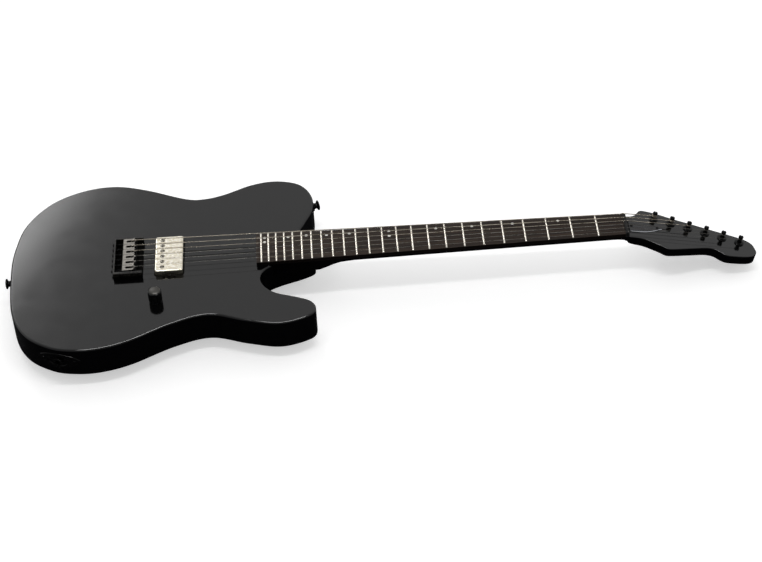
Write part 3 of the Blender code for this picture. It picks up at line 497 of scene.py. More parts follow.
def inward(outline, distance):
    area = sum(a.x * b.y - b.x * a.y for a, b in zip(outline, outline[1:] + outline[:1]))
    sign = 1.0 if area > 0 else -1.0
    moved = []
    for k, point in enumerate(outline):
        tangent = (outline[(k + 1) % len(outline)] - outline[k - 1]).normalized()
        moved.append(point + Vector((-tangent.y, tangent.x)) * sign * distance)
    return moved


def slab(name, outline, low, high, look, round_low=0.4, round_high=0.4, steps=3, **where):
    """A plate with this outline and rounded rims."""
    outline = [Vector(p[:2]) for p in outline]
    layers = []
    for k in range(steps + 1):
        angle = math.pi / 2 * k / steps
        layers.append((round_low * (1 - math.sin(angle)), low + round_low * (1 - math.cos(angle))))
    for k in range(steps + 1):
        angle = math.pi / 2 * k / steps
        layers.append((round_high * (1 - math.cos(angle)), high - round_high * (1 - math.sin(angle))))
    rings = [[(p.x, p.y, z) for p in inward(outline, inset)] for inset, z in layers]
    return loft(name, rings, look, **where)


def rounded_rectangle(centre, size, radius, corner=8):
    half_x, half_y = size[0] / 2 - radius, size[1] / 2 - radius
    outline = []
    for quadrant, (sx, sy) in enumerate(((1, 1), (-1, 1), (-1, -1), (1, -1))):
        for k in range(corner + 1):
            angle = math.pi / 2 * (quadrant + k / corner)
            outline.append((centre[0] + sx * half_x + radius * math.cos(angle),
                            centre[1] + sy * half_y + radius * math.sin(angle)))
    return outline


def rounded_polygon(corners, radius, steps=6):
    """Outline through the corners, each turned by a short curve."""
    outline = []
    count = len(corners)
    for i in range(count):
        before, here, after = (Vector(corners[(i + k) % count]) for k in (-1, 0, 1))
        start = here + (before - here).normalized() * radius
        end = here + (after - here).normalized() * radius
        for k in range(steps + 1):
            t = k / steps
            outline.append(start * (1 - t) ** 2 + here * 2 * t * (1 - t) + end * t ** 2)
    return outline


def smooth_loop(nodes, span, closed=True):
    """Catmull-Rom curve through the nodes, with span steps between neighbours."""
    count = len(nodes)
    curve = []
    for i in range(count if closed else count - 1):
        near = ((i + k) % count if closed else min(max(i + k, 0), count - 1) for k in (-1, 0, 1, 2))
        p0, p1, p2, p3 = (Vector(nodes[n]) for n in near)
        for step in range(span):
            t = step / span
            curve.append(0.5 * (2 * p1 + (p2 - p0) * t + (2 * p0 - 5 * p1 + 4 * p2 - p3) * t ** 2
                                + (3 * p1 - p0 - 3 * p2 + p3) * t ** 3))
    if not closed:
        curve.append(Vector(nodes[-1]))
    return curve


def box_tool(low, high, place=REST):
    corners = ((low[0], low[1]), (high[0], low[1]), (high[0], high[1]), (low[0], high[1]))
    return prism_tool(corners, low[2], high[2], place)


def prism_tool(outline, low, high, place=REST):
    rings = [[(p[0], p[1], z) for p in outline] for z in (low, high)]
    return loft("tool", rings, "plastic", place=place)


def rod_tool(start, end, radius, segments=32, place=REST):
    start, end = place @ Vector(start), place @ Vector(end)
    axis = end - start
    turn = Matrix.Translation(start) @ axis.to_track_quat("Z", "Y").to_matrix().to_4x4()
    profile = ((0, 0), (radius, 0), (radius, axis.length), (0, axis.length))
    return revolve("tool", profile, segments, "plastic", place=turn)


def bore(x, y, low, high, radius, segments=32, place=REST):
    return rod_tool((x, y, low), (x, y, high), radius, segments, place)


def bake(obj):
    """The object's modifiers become its mesh."""
    shown = bpy.context.evaluated_depsgraph_get()
    mesh = bpy.data.meshes.new_from_object(obj.evaluated_get(shown))
    mesh.name = obj.name
    obj.modifiers.clear()
    obj.data = mesh
    return obj


def combine(target, tools, operation="DIFFERENCE"):
    for tool in tools:
        modifier = target.modifiers.new("boolean", "BOOLEAN")
        modifier.operation = operation
        modifier.solver = "EXACT"
        modifier.object = tool
    bake(target)
    for tool in tools:
        bpy.data.objects.remove(tool, do_unlink=True)
    return target


def soften(target, width, segments=2, angle=35.0):
    modifier = target.modifiers.new("bevel", "BEVEL")
    modifier.width = width * MM
    modifier.segments = segments
    modifier.limit_method = "ANGLE"
    modifier.angle_limit = math.radians(angle)
    modifier.use_clamp_overlap = True
    return bake(target)


def place_on(obj, *nodes, body="root", slot="black_hardware"):
    """The piece rides on a body and stands for CAD nodes; slot is not used."""
    obj.data.shade_smooth()
    obj.data.set_sharp_from_angle(angle=math.radians(obj["sharp"]))
    weighted = obj.modifiers.new("weighted_normals", "WEIGHTED_NORMAL")
    weighted.keep_sharp = True
    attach(obj, body)
    if nodes:
        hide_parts(*nodes)
    return obj


def looking(origin, outward, across=None):
    """Frame at origin whose Z is outward; its X lies near across when that is given."""
    z = Vector(outward).normalized()
    if across is None:
        return Matrix.Translation(Vector(origin)) @ z.to_track_quat("Z", "Y").to_matrix().to_4x4()
    x = (Vector(across) - z * Vector(across).dot(z)).normalized()
    y = z.cross(x)
    turn = Matrix((x, y, z)).transposed().to_4x4()
    return Matrix.Translation(Vector(origin)) @ turn


def interpolate(table, x):
    for (x0, v0), (x1, v1) in zip(table, table[1:]):
        if x <= x1:
            return v0 + (v1 - v0) * max(0.0, (x - x0) / (x1 - x0))
    return table[-1][1]


def board_half(x):
    return NUT_HALF + (SCALE - x) * (BOARD_END_HALF - NUT_HALF) / (SCALE - BOARD_END)


def board_height(y):
    return BOARD_TOP - (BOARD_RADIUS - math.sqrt(BOARD_RADIUS ** 2 - y ** 2))


def fret_x(number):
    return SCALE * 2 ** (-number / 12)


def string_y(index, pitch):
    return pitch * ((STRINGS - 1) / 2 - index)


def post_place(index):
    return POST_FIRST[0] + POST_STEP[0] * index, POST_FIRST[1] + POST_STEP[1] * index


BODY_CURVE = smooth_loop(BODY_NODES, 9)


def side_frame(near):
    """Point of the coarse side line nearest to near, and the outward direction there."""
    coarse = smooth_loop(BODY_NODES, 3)
    k = min(range(len(coarse)), key=lambda i: (coarse[i] - Vector(near)).length)
    out = coarse[k] - inward(coarse, 1.0)[k]
    return coarse[k], Vector((out.x, out.y, 0)).normalized()


def screw(name, place, radius, height, look="black", shank=3.0):
    """A fixed, domed head with a crossed recess; place has Z outwards and its origin under the head."""
    stem = radius * 0.45
    profile = [(0, -shank), (stem, -shank), (stem, -0.02), (radius, 0.0), (radius, height * 0.35)]
    for k in range(1, 6):
        angle = math.pi / 2 * k / 6
        profile.append((radius * math.cos(angle), height * (0.35 + 0.65 * math.sin(angle))))
    profile.append((0, height))
    head = revolve(name, profile, 28, look, place=place)
    deep, reach, half = height * 0.35, radius * 0.62, radius * 0.13
    tools = [box_tool((-reach, -half, deep), (reach, half, height + 1), place),
             box_tool((-half, -reach, deep), (half, reach, height + 1), place)]
    combine(head, tools)
    return place_on(head)


def sweep(name, path, radii, sides, look):
    """A closed tube along path, its section carried along without twist."""
    points = [Vector(p) for p in path]
    side = Vector((0, 1, 0))
    rings = []
    for k, (point, radius) in enumerate(zip(points, radii)):
        tangent = (points[min(k + 1, len(points) - 1)] - points[max(k - 1, 0)]).normalized()
        side = (side - tangent * side.dot(tangent)).normalized()
        other = tangent.cross(side)
        rings.append([point + radius * (math.cos(a) * side + math.sin(a) * other)
                      for a in circle(sides)])
    return loft(name, rings, look, sharp=60.0)


# ---- body ------------------------------------------------------------------------------------
def build_body():
    body = slab("body_shell", BODY_CURVE, 0.0, TOP, "lacquer", 3.0, 3.0, 6)
    start, end = BOARD_END - 0.3, 245.0
    pocket = ((start, -board_half(start) - 0.15), (end, -board_half(end) - 0.15),
              (end, board_half(end) + 0.15), (start, board_half(start) + 0.15))
    centre = ((PICKUP[0] + PICKUP[1]) / 2, 0)
    route = rounded_rectangle(centre, (PICKUP[1] - PICKUP[0] + 2.6, 2 * PICKUP[2] + 2.6), 4.0)
    ears = rounded_rectangle((39.0, 0), (18.0, 83.0), 5.0)
    cavity = rounded_rectangle(CAVITY_CENTRE, (62.0, 48.0), 12.0)
    ledge = rounded_rectangle(CAVITY_CENTRE, (74.0, 58.0), 16.0)
    side, out = side_frame(JACK_NEAR)
    mouth = Vector((side.x, side.y, JACK_Z))
    tools = [
        prism_tool(pocket, 27.7, TOP + 5),
        prism_tool(route, 22.0, TOP + 5),
        prism_tool(ears, 23.0, TOP + 6),
        prism_tool(cavity, -5, 34.0),
        prism_tool(ledge, -6, 2.6),
        rod_tool(mouth + out * 8, mouth - out * 38, 9.0),
        bore(*KNOB, 29, TOP + 5, 5.05),
    ]
    for i in range(STRINGS):
        y = string_y(i, PITCH_BRIDGE)
        tools.append(bore(STRING_HOLE_X, y, 6, TOP + 5, 1.8, 16))
        tools.append(bore(STRING_HOLE_X, y, -5, 8.0, 4.0))
    combine(body, tools)
    place_on(body, "body", slot="body_finish")


def build_back():
    """Control cover, neck plate, ferrules and their screws."""
    outline = rounded_rectangle(CAVITY_CENTRE, (73.2, 57.2), 15.6, 12)
    holes = [(CAVITY_CENTRE[0] + sx * 30.5, CAVITY_CENTRE[1] + sy * 22.5) for sx in (-1, 1) for sy in (-1, 1)]
    cover = slab("control_cover_plate", outline, 0.05, 2.3, "plastic", 0.35, 0.1)
    place_on(cover, "control_cover", slot="cover_plastic")
    for k, (x, y) in enumerate(holes, start=1):
        screw(f"control_cover_screw_{k}", looking((x, y, 0.3), (0, 0, -1)), 2.6, 1.2)

    plate = slab("neck_plate_shell", rounded_polygon(PLATE_OUTLINE, 4.0), -1.9, 0.0, "black", 0.5, 0.1)
    place_on(plate, "neck_plate")
    for k, (x, y) in enumerate(PLATE_SCREWS, start=1):
        head = screw(f"neck_screw_head_{k}", looking((x, y, -1.9), (0, 0, -1)), 4.2, 2.3, shank=1.5)
        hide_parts(f"neck_screw_{k}")

    for i in range(STRINGS):
        y = string_y(i, PITCH_BRIDGE)
        profile = ((2.1, 0.3), (2.4, 0.05), (3.7, 0.05), (3.95, 0.3), (3.95, 7.8), (2.1, 7.8))
        rings = [[(STRING_HOLE_X + radius * math.cos(a), y + radius * math.sin(a), height)
                  for a in circle(32)] for radius, height in profile]
        ferrule = loft(f"string_ferrule_{i + 1}", rings, "black", looped=True)
        place_on(ferrule)


# ---- neck, headstock, fingerboard --------------------------------------------------------------
def neck_section(top, bass, treble, depth, squareness, tilt, rim):
    """A D-shaped ring below top: flat above with a small rim radius, a superellipse below."""
    steps, rim_steps = 30, 4
    middle, half = (bass + treble) / 2, (bass - treble) / 2
    power = 2.0 / squareness
    ring = []
    for k in range(steps + 1):
        angle = math.pi * k / steps
        c, s = math.cos(angle), math.sin(angle)
        across = middle + half * math.copysign(abs(c) ** power, c)
        down = -rim - (depth - rim) * max(s, 0.0) ** power
        ring.append((across, down))
    for k in range(1, rim_steps + 1):
        angle = math.pi / 2 * k / rim_steps
        ring.append((treble + rim * (1 - math.cos(angle)), -rim * (1 - math.sin(angle))))
    for k in range(1, 6):
        t = k / 6
        ring.append((treble + rim + (bass - treble - 2 * rim) * t, 0.0))
    for k in range(rim_steps):
        angle = math.pi / 2 * k / rim_steps
        ring.append((bass - rim * (1 - math.sin(angle)), -rim * (1 - math.cos(angle))))
    return [(top[0] + down * math.sin(tilt), across, top[1] + down * math.cos(tilt)) for across, down in ring]


def build_neck():
    heel = HEEL_DEPTH
    table = ((BOARD_END, heel, 14, 0), (236, heel, 14, 0), (242, heel - 0.6, 9, 0),
             (249, heel - 2.2, 6, 0), (257, heel - 3.8, 3.8, 0), (268, heel - 5.0, 2.6, 0),
             (290, heel - 5.6, 2.2, 0), (470, 11.8, 2.15, 0), (632, 11.2, 2.15, 0),
             (HEAD_START - 8, 11.8, 2.4, 0.1), (HEAD_START, 13.2, 3.4, 0.5))
    rings = []
    for x, depth, squareness, lean in smooth_rows(table, 4):
        half = board_half(x)
        rings.append(neck_section((x, NECK_TOP), half, -half, depth, squareness, HEAD_TILT * lean, 0.12))
    bass = smooth_loop(HEAD_BASS, 6, closed=False)
    treble = smooth_loop(HEAD_TREBLE, 6, closed=False)
    bass_table = [(p.x, p.y) for p in bass]
    treble_table = [(p.x, p.y) for p in treble]
    lengths = sorted({round(v, 2) for v in [1.5 + 2.2 * k for k in range(76)]
                      + [168.5, 169.7, 170.8, 171.8, 172.7, 173.5, 174.2, 174.8, 175.3, 175.7, 175.95]})
    for length in lengths:
        top = (HEAD_START + length * math.cos(HEAD_TILT), NECK_TOP - length * math.sin(HEAD_TILT))
        squareness = min(14.0, 4.0 + 0.75 * length)
        rim = min(1.0, 0.12 + length / 22)
        rings.append(neck_section(top, interpolate(bass_table, length), interpolate(treble_table, length),
                                  HEAD_THICK, squareness, HEAD_TILT, rim))
    neck = loft("neck_shell", rings, "lacquer", sharp=40.0)
    tools = [box_tool((159, -3.3, 38.0), (668, 3.3, NECK_TOP + 10))]
    for i in range(STRINGS):
        length, side = post_place(i)
        tools.append(bore(length, side, -25, 5, 5.0, 32, HEAD))
    combine(neck, tools)
    place_on(neck, "neck", slot="neck_finish")


def smooth_rows(rows, span):
    """Rows of numbers with span steps between neighbours, eased through each row."""
    out = []
    for i in range(len(rows) - 1):
        p = [rows[min(max(i + k, 0), len(rows) - 1)] for k in (-1, 0, 1, 2)]
        h = rows[i + 1][0] - rows[i][0]
        for step in range(span):
            t = step / span
            row = [rows[i][0] + h * t]
            for c in range(1, len(rows[0])):
                def slope(a, b):
                    return (b[c] - a[c]) / (b[0] - a[0]) if b[0] != a[0] else 0.0
                left, mid, right = slope(p[0], p[1]), slope(p[1], p[2]), slope(p[2], p[3])
                m0 = 0.0 if left * mid <= 0 else 2 * left * mid / (left + mid)
                m1 = 0.0 if right * mid <= 0 else 2 * right * mid / (right + mid)
                row.append((2 * t ** 3 - 3 * t ** 2 + 1) * p[1][c] + (t ** 3 - 2 * t ** 2 + t) * h * m0
                           + (-2 * t ** 3 + 3 * t ** 2) * p[2][c] + (t ** 3 - t ** 2) * h * m1)
            out.append(row)
    out.append(list(rows[-1]))
    return out


def build_fingerboard():
    rings = []
    edge = 0.5
    for x in [BOARD_END + (SCALE - BOARD_END) * k / 24 for k in range(25)]:
        half = board_half(x)
        ring = [(x, -half, NECK_TOP + 0.02), (x, half, NECK_TOP + 0.02)]
        top = board_height(half - edge)
        ring += [(x, half, top - edge), (x, half - edge * 0.3, top - edge * 0.3)]
        for k in range(25):
            y = (half - edge) * (1 - 2 * k / 24)
            ring.append((x, y, board_height(y)))
        ring += [(x, -half + edge * 0.3, top - edge * 0.3), (x, -half, top - edge)]
        rings.append(ring)
    place_on(loft("fingerboard_wood", rings, "rosewood", sharp=50.0), "fingerboard", slot="rosewood")

    points, faces = [], []
    crown = [(math.cos(math.pi * (1 - k / 8)), math.sin(math.pi * (1 - k / 8))) for k in range(9)]
    for number in range(1, FRET_COUNT + 1):
        x = fret_x(number)
        half = board_half(x) - 0.3
        stations = [(half, 0.12), (half - 0.35, 0.55), (half - 1.0, 1.0)]
        stations += [((half - 1.0) * (1 - 2 * k / 12), 1.0) for k in range(1, 12)]
        stations += [(-half + 1.0, 1.0), (-half + 0.35, 0.55), (-half, 0.12)]
        base = len(points)
        for y, rise in stations:
            foot = board_height(y) - 0.12
            full = FRET_TOP - BOARD_TOP + 0.12
            points.extend((x + 1.35 * u * (0.55 + 0.45 * rise), y, foot + full * rise * v) for u, v in crown)
        faces += [tuple(base + k for k in face) for face in ring_faces(len(stations), len(crown))]
    place_on(piece("fret_crowns", points, faces, "fret", sharp=50.0), "frets", slot="fret_wire")

    markers = {24: (19.2, 10.0), 21: (18.0,), 19: (18.8,), 17: (17.0,), 15: (17.0,), 12: (16.7, 6.5),
               9: (15.8,), 7: (15.3,), 5: (14.9,), 3: (14.6,)}
    for number, places in markers.items():
        x = (fret_x(number) + fret_x(number - 1)) / 2
        for k, y in enumerate(places, start=1):
            up = Vector((0, y / BOARD_RADIUS, 1)).normalized()
            place = looking((x, y, board_height(y)), up)
            profile = ((0, -0.5), (2.05, -0.5), (2.05, 0.01), (1.9, 0.04), (0, 0.05))
            dot = revolve(f"marker_{number}_{k}", profile, 28, "pearl", place=place)
            place_on(dot, slot="nut_plastic")
        spots = (-1, 1) if number in (12, 24) else (0,)
        for k, shift in enumerate(spots, start=1):
            at = (x + shift * 3.0, board_half(x), 48.9)
            dot = revolve(f"side_marker_{number}_{k}", ((0, -0.4), (1.0, -0.4), (1.0, 0.03), (0, 0.04)), 20,
                          "pearl", place=looking(at, (0, 1, 0)))
            place_on(dot, slot="nut_plastic")


def build_nut():
    low, high = SCALE + 0.15, HEAD_START - 0.1
    rings = []
    for y in [(NUT_HALF - 0.1) * (1 - 2 * k / 40) for k in range(41)]:
        top = 54.0 - (BOARD_RADIUS - math.sqrt(BOARD_RADIUS ** 2 - y ** 2))
        if abs(y) > NUT_HALF - 0.6:
            top -= 0.5
        section = ((low, NECK_TOP), (high, NECK_TOP), (high, top - 1.4), (high - 1.2, top - 0.45),
                   (low + 1.2, top), (low + 0.3, top - 0.1), (low, top - 0.5))
        rings.append([(x, y, z) for x, z in section])
    nut = loft("nut_bar", rings, "nut", sharp=40.0)
    tools = []
    for i, radius in enumerate(STRING_RADII):
        y = string_y(i, PITCH_NUT)
        start, end, side = SCALE - 2, HEAD_START + 2, radius + 0.06
        tools.append(rod_tool((start, y, 53.3 + radius), (end, y, 53.1 + radius), radius + 0.08, 12))
        tools.append(box_tool((start, y - side, 53.2 + radius), (end, y + side, 56)))
    combine(nut, tools)
    place_on(nut, "nut", slot="nut_plastic")


def build_truss_rod():
    """Adjusting nut in the channel and the bell-shaped cover with its pale middle ply."""
    start = 650.4
    profile = ((0, 0), (2.5, 0), (2.6, 0.4), (2.6, 9.4), (2.3, 10.0), (0, 10.0))
    nut = revolve("truss_rod_socket", profile, 24, "steel", place=looking((start, 0, ROD_AXIS), (1, 0, 0)))
    combine(nut, [prism_tool(hexagon(1.6), 4.0, 12.0, looking((start, 0, ROD_AXIS), (1, 0, 0)))])
    place_on(nut, "truss_rod_nut", body="rod_nut", slot="plain_steel")

    half = smooth_loop(COVER_PROFILE, 6, closed=False)
    outline = [Vector((p.x, COVER_Y - p.y)) for p in half]
    outline += [Vector((p.x, COVER_Y + p.y)) for p in reversed(half)]
    layers = ((0.0, 0.02, 0), (0.0, 0.5, 0), (0.12, 0.62, 1), (0.75, 1.35, 0), (1.05, 1.75, 0), (1.3, 1.9, 0))
    rings = [[(p.x, p.y, z) for p in inward(outline, inset)] for inset, z, _ in layers]
    cover = loft("truss_rod_cover_plate", rings, "plastic", place=HEAD, sharp=25.0)
    cover.data.materials.append(LOOKS["white_ply"])
    size = len(outline)
    for face in cover.data.polygons:
        ring = face.index // size
        side_edge = ring < len(layers) - 1 and layers[ring][2] == 1 and len(face.vertices) == 4
        if side_edge and 0.3 * MM < abs(face.center.y - COVER_Y * MM) < 10.6 * MM:
            face.material_index = 1
    place_on(cover, "truss_rod_cover", slot="cover_plastic")
    for k, (x, node) in enumerate(((COVER_SCREW_X, "truss_cover_screw"), (5.5, None)), start=1):
        place = HEAD @ Matrix.Translation((x, COVER_Y, 1.9))
        head = screw(f"cover_screw_{k}", place, 2.0, 1.2, shank=1.5)
        if node:
            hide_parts(node)


# ---- bridge and strings ------------------------------------------------------------------------
def build_bridge():
    back, front, half = BRIDGE
    outline = rounded_rectangle(((back + front) / 2, 0), (front - back, 2 * half), 1.6, 5)
    tray = slab("bridge_tray", outline, TOP + 0.02, BRIDGE_TOP, "bridge", 0.2, 0.5, 3)
    for side in (-1, 1):
        bend = BRIDGE_TOP - 2.6
        cheek = [(side * (half - 4.0), 60.0), (side * (half + 1.0), 60.0), (side * (half + 1.0), bend)]
        for k in range(7):
            angle = math.pi / 2 * k / 6
            cheek.append((side * (half - 2.8 + 2.9 * math.cos(angle)), bend + 2.6 * math.sin(angle)))
        rings = [[(x, y, z) for y, z in cheek] for x in (back - 2, front + 2)]
        combine(tray, [loft("tool", rings, "bridge")])
    tools = [box_tool((back + 2.0, -half + 3.7, BRIDGE_FLOOR), (front + 5, half - 3.7, BRIDGE_TOP + 5))]
    for i in range(STRINGS):
        y = string_y(i, PITCH_BRIDGE)
        tools.append(bore(STRING_HOLE_X, y, TOP - 3, BRIDGE_FLOOR + 3, 1.6, 20))
        tools.append(rod_tool((back - 3, y, INTONATION_Z), (back + 5, y, INTONATION_Z), 1.75, 20))
    combine(tray, tools)
    soften(tray, 0.25, 2, 50.0)
    place_on(tray, "bridge_plate")
    for k, y in enumerate((-21.0, 0.0, 21.0), start=1):
        screw(f"bridge_screw_{k}", looking((-27.5, y, BRIDGE_FLOOR), (0, 0, 1)), 2.6, 1.3, shank=1.0)

    for i in range(STRINGS):
        y = string_y(i, PITCH_BRIDGE)
        build_saddle(i + 1, y)
        build_intonation(i + 1, y)


def build_saddle(number, y):
    back, front = SADDLE
    side = ((back, 46.7), (front, 46.7), (front, 51.6), (front - 0.9, 53.6), (-5.0, 55.6), (-6.1, 56.05),
            (-7.6, 55.9), (-9.0, 55.2), (back + 0.6, 54.75), (back, 54.2))
    rings = [[(x, y + s, z) for x, z in side] for s in (-5.0, 5.0)]
    saddle = loft(f"saddle_block_{number}", rings, "saddle", sharp=25.0)
    slot = rounded_rectangle((-12.4, y), (11.4, 4.0), 1.6, 6)
    radius = STRING_RADII[number - 1]
    tools = [prism_tool(slot, 40.0, 60.0),
             rod_tool((back - 2, y, INTONATION_Z), (-16.0, y, INTONATION_Z), 1.8, 20),
             rod_tool((-9.5, y, 56.25 + radius), (2.0, y, 56.05 + radius), radius + 0.25, 14)]
    for shift in (-HEIGHT_SCREW_HALF, HEIGHT_SCREW_HALF):
        tools.append(bore(HEIGHT_SCREW_X, y + shift, 45.0, 60.0, 1.75, 20))
    combine(saddle, tools)
    soften(saddle, 0.3, 2, 28.0)
    body = f"saddle_slide_{number}"
    place_on(saddle, f"saddle_{number}", body=body, slot="saddle_metal")
    for k, shift in enumerate((-HEIGHT_SCREW_HALF, HEIGHT_SCREW_HALF), start=1):
        place = looking((HEIGHT_SCREW_X, y + shift, 46.1), (0, 0, 1))
        profile = ((0, 0), (0.9, 0), (1.5, 0.6), (1.5, 8.0), (1.2, 8.3), (0, 8.3))
        grub = revolve(f"height_screw_{number}_{k}", profile, 18, "dark", place=place)
        combine(grub, [prism_tool(hexagon(0.75), 6.5, 10.0, place)])
        place_on(grub, body=body)


def build_intonation(number, y):
    back = BRIDGE[0]
    place = looking((back, y, INTONATION_Z), (1, 0, 0))
    profile = [(0, -2.6), (1.5, -2.6), (2.1, -2.35), (2.5, -1.8), (2.5, -0.05), (1.45, -0.05), (1.45, 2.0)]
    height = 2.2
    while height < 16.6:
        profile += [(1.5, height), (1.22, height + 0.25)]
        height += 0.5
    profile += [(1.2, 17.2), (0, 17.6)]
    bolt = revolve(f"intonation_bolt_{number}", profile, 20, "dark", place=place, sharp=60.0)
    combine(bolt, [box_tool((-1.7, -0.32, -3.5), (1.7, 0.32, -1.7), place),
                   box_tool((-0.32, -1.7, -3.5), (0.32, 1.7, -1.7), place)])
    place_on(bolt, f"intonation_screw_{number}", body=f"intonation_{number}")

    start, end = back + 2.4, SADDLE[0] - 0.35
    turns, per_turn = 6.5, 14
    path, total = [], int(turns * per_turn)
    for k in range(total + 1):
        angle = 2 * math.pi * k / per_turn
        path.append((start + (end - start) * k / total, y + SPRING_R * math.cos(angle),
                     INTONATION_Z + SPRING_R * math.sin(angle)))
    spring = sweep(f"saddle_spring_{number}", path, [0.27] * len(path), 8, "dark")
    spring.data.shade_smooth()
    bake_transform(spring)


def build_strings():
    for i, radius in enumerate(STRING_RADII):
        y_bridge, y_nut = string_y(i, PITCH_BRIDGE), string_y(i, PITCH_NUT)
        saddle_z = 56.2 + radius
        nut_z = 53.3 + radius
        path = [(STRING_HOLE_X, y_bridge, z) for z in (2.6, 3.0, 5.8, 6.6, 30.0, 50.0)]
        over = ((-12.3, 53.0), (-11.6, 54.6), (-10.4, saddle_z - 0.55), (-9.0, saddle_z - 0.12),
                (-7.4, saddle_z), (-5.0, saddle_z - 0.02))
        path += [(x, y_bridge, z) for x, z in over]
        radii = [0.9, 1.7, 1.7, radius] + [radius] * (len(path) - 4)
        last = Vector(path[-1])
        for k in range(1, 25):
            path.append(last.lerp(Vector((SCALE + 0.5, y_nut, nut_z)), k / 24))
        path.append((HEAD_START - 0.4, y_nut, nut_z - 0.15))
        radii += [radius] * 25
        length, side = post_place(i)
        wrap = 2.4 + radius + 0.02
        turns, per_turn = 2.5, 20
        for k in range(int(turns * per_turn) + 1):
            angle = -math.pi / 2 + 2 * math.pi * k / per_turn
            height = 8.2 - 2.25 * radius * k / per_turn - (0.2 if radius < 0.3 else 0.0)
            local = Vector((length + wrap * math.cos(angle), side + wrap * math.sin(angle), max(height, 4.6)))
            path.append(HEAD @ local)
            radii.append(radius)
        wire = sweep(f"string_wire_{i + 1}", path, radii, 10, "wound" if i < 3 else "plain")
        place_on(wire, f"string_{i + 1}", slot="wound_string" if i < 3 else "plain_string")


# ---- tuners ------------------------------------------------------------------------------------
def build_tuners():
    row = Vector((POST_STEP[0], POST_STEP[1], 0)).normalized()
    lean = Matrix.Rotation(math.atan2(row.y, row.x), 4, "Z")
    back = -HEAD_THICK - 0.05
    for i in range(STRINGS):
        number = i + 1
        length, side = post_place(i)
        place = HEAD @ Matrix.Translation((length, side, 0)) @ lean
        outline = rounded_rectangle((-1.0, 1.5), (17.5, 19.0), 3.2, 8)
        case = slab(f"tuner_case_{number}", outline, WORM_Z - 6.0, back, "black", 1.6, 0.3, 4, place=place)
        sleeve = ((0, back + 1), (5.0, back + 1), (5.0, 0.02), (6.4, 0.02), (6.4, 1.1), (6.0, 1.5),
                  (5.5, 1.5), (5.3, 1.6), (5.3, 2.2), (4.9, 2.4), (0, 2.4))
        join = revolve("tool", sleeve, 40, "black", place=place)
        neck = revolve("tool", ((0, -20), (4.2, -20), (4.2, 1), (0, 1)), 40, "black", place=place)
        combine(case, [join, neck], "UNION")
        shaft_hole = bore(0, 0, -18, 6, 3.3, 28, place)
        collar_hole = rod_tool((-WORM_OFFSET, 5.0, WORM_Z), (-WORM_OFFSET, 14, WORM_Z), 2.2, 20, place)
        combine(case, [shaft_hole, collar_hole])
        place_on(case, f"tuner_housing_{number}")
        at = place @ Matrix.Translation((3.2, 1.5, WORM_Z - 6.0)) @ Matrix.Rotation(math.pi, 4, "X")
        screw(f"tuner_case_screw_{number}", at, 1.7, 0.8, shank=0.6)

        profile = ((0, -17.6), (3.0, -17.6), (3.0, 3.4), (2.75, 4.0), (2.4, 4.5), (2.4, 8.2), (2.7, 8.7),
                   (3.3, 9.2), (3.3, 11.1), (3.1, 11.6), (2.5, 11.9), (0, 11.9))
        post = revolve(f"tuner_shaft_{number}", profile, 32, "post", place=place)
        combine(post, [rod_tool((-5, 0, 6.4), (5, 0, 6.4), 0.85, 16, place),
                       box_tool((-0.5, -5, 10.5), (0.5, 5, 13), place)])
        place_on(post, f"tuner_post_{number}", body=f"post_{number}")
        build_button(number, place)


def build_button(number, place):
    """Oval grip on a turned shaft, about the worm's axis."""
    rings = []

    def ring(height, wide, thick):
        rings.append([(wide * math.cos(a), thick * math.sin(a), height) for a in circle(36)])

    for height, radius in ((5.0, 1.9), (10.9, 1.9), (11.0, 2.9), (12.2, 2.9), (12.5, 1.5), (15.6, 1.5),
                           (16.0, 2.3), (17.6, 2.6), (18.2, 2.5)):
        ring(height, radius, radius)
    middle, half, high, thick = 25.0, 6.8, 6.0, 3.0
    for share in (-0.97, -0.9, -0.78, -0.6, -0.35, 0.0, 0.35, 0.6, 0.78, 0.9, 0.97, 0.998):
        swell = math.sqrt(1 - share ** 2)
        ring(middle + share * half, high * swell, thick * swell ** 0.55)
    turn = place @ Matrix.Translation((-WORM_OFFSET, 0, WORM_Z)) @ Matrix.Rotation(-math.pi / 2, 4, "X")
    grip = loft(f"tuner_grip_{number}", rings, "black", place=turn, sharp=40.0)
    place_on(grip, f"tuner_button_{number}", body=f"button_{number}")


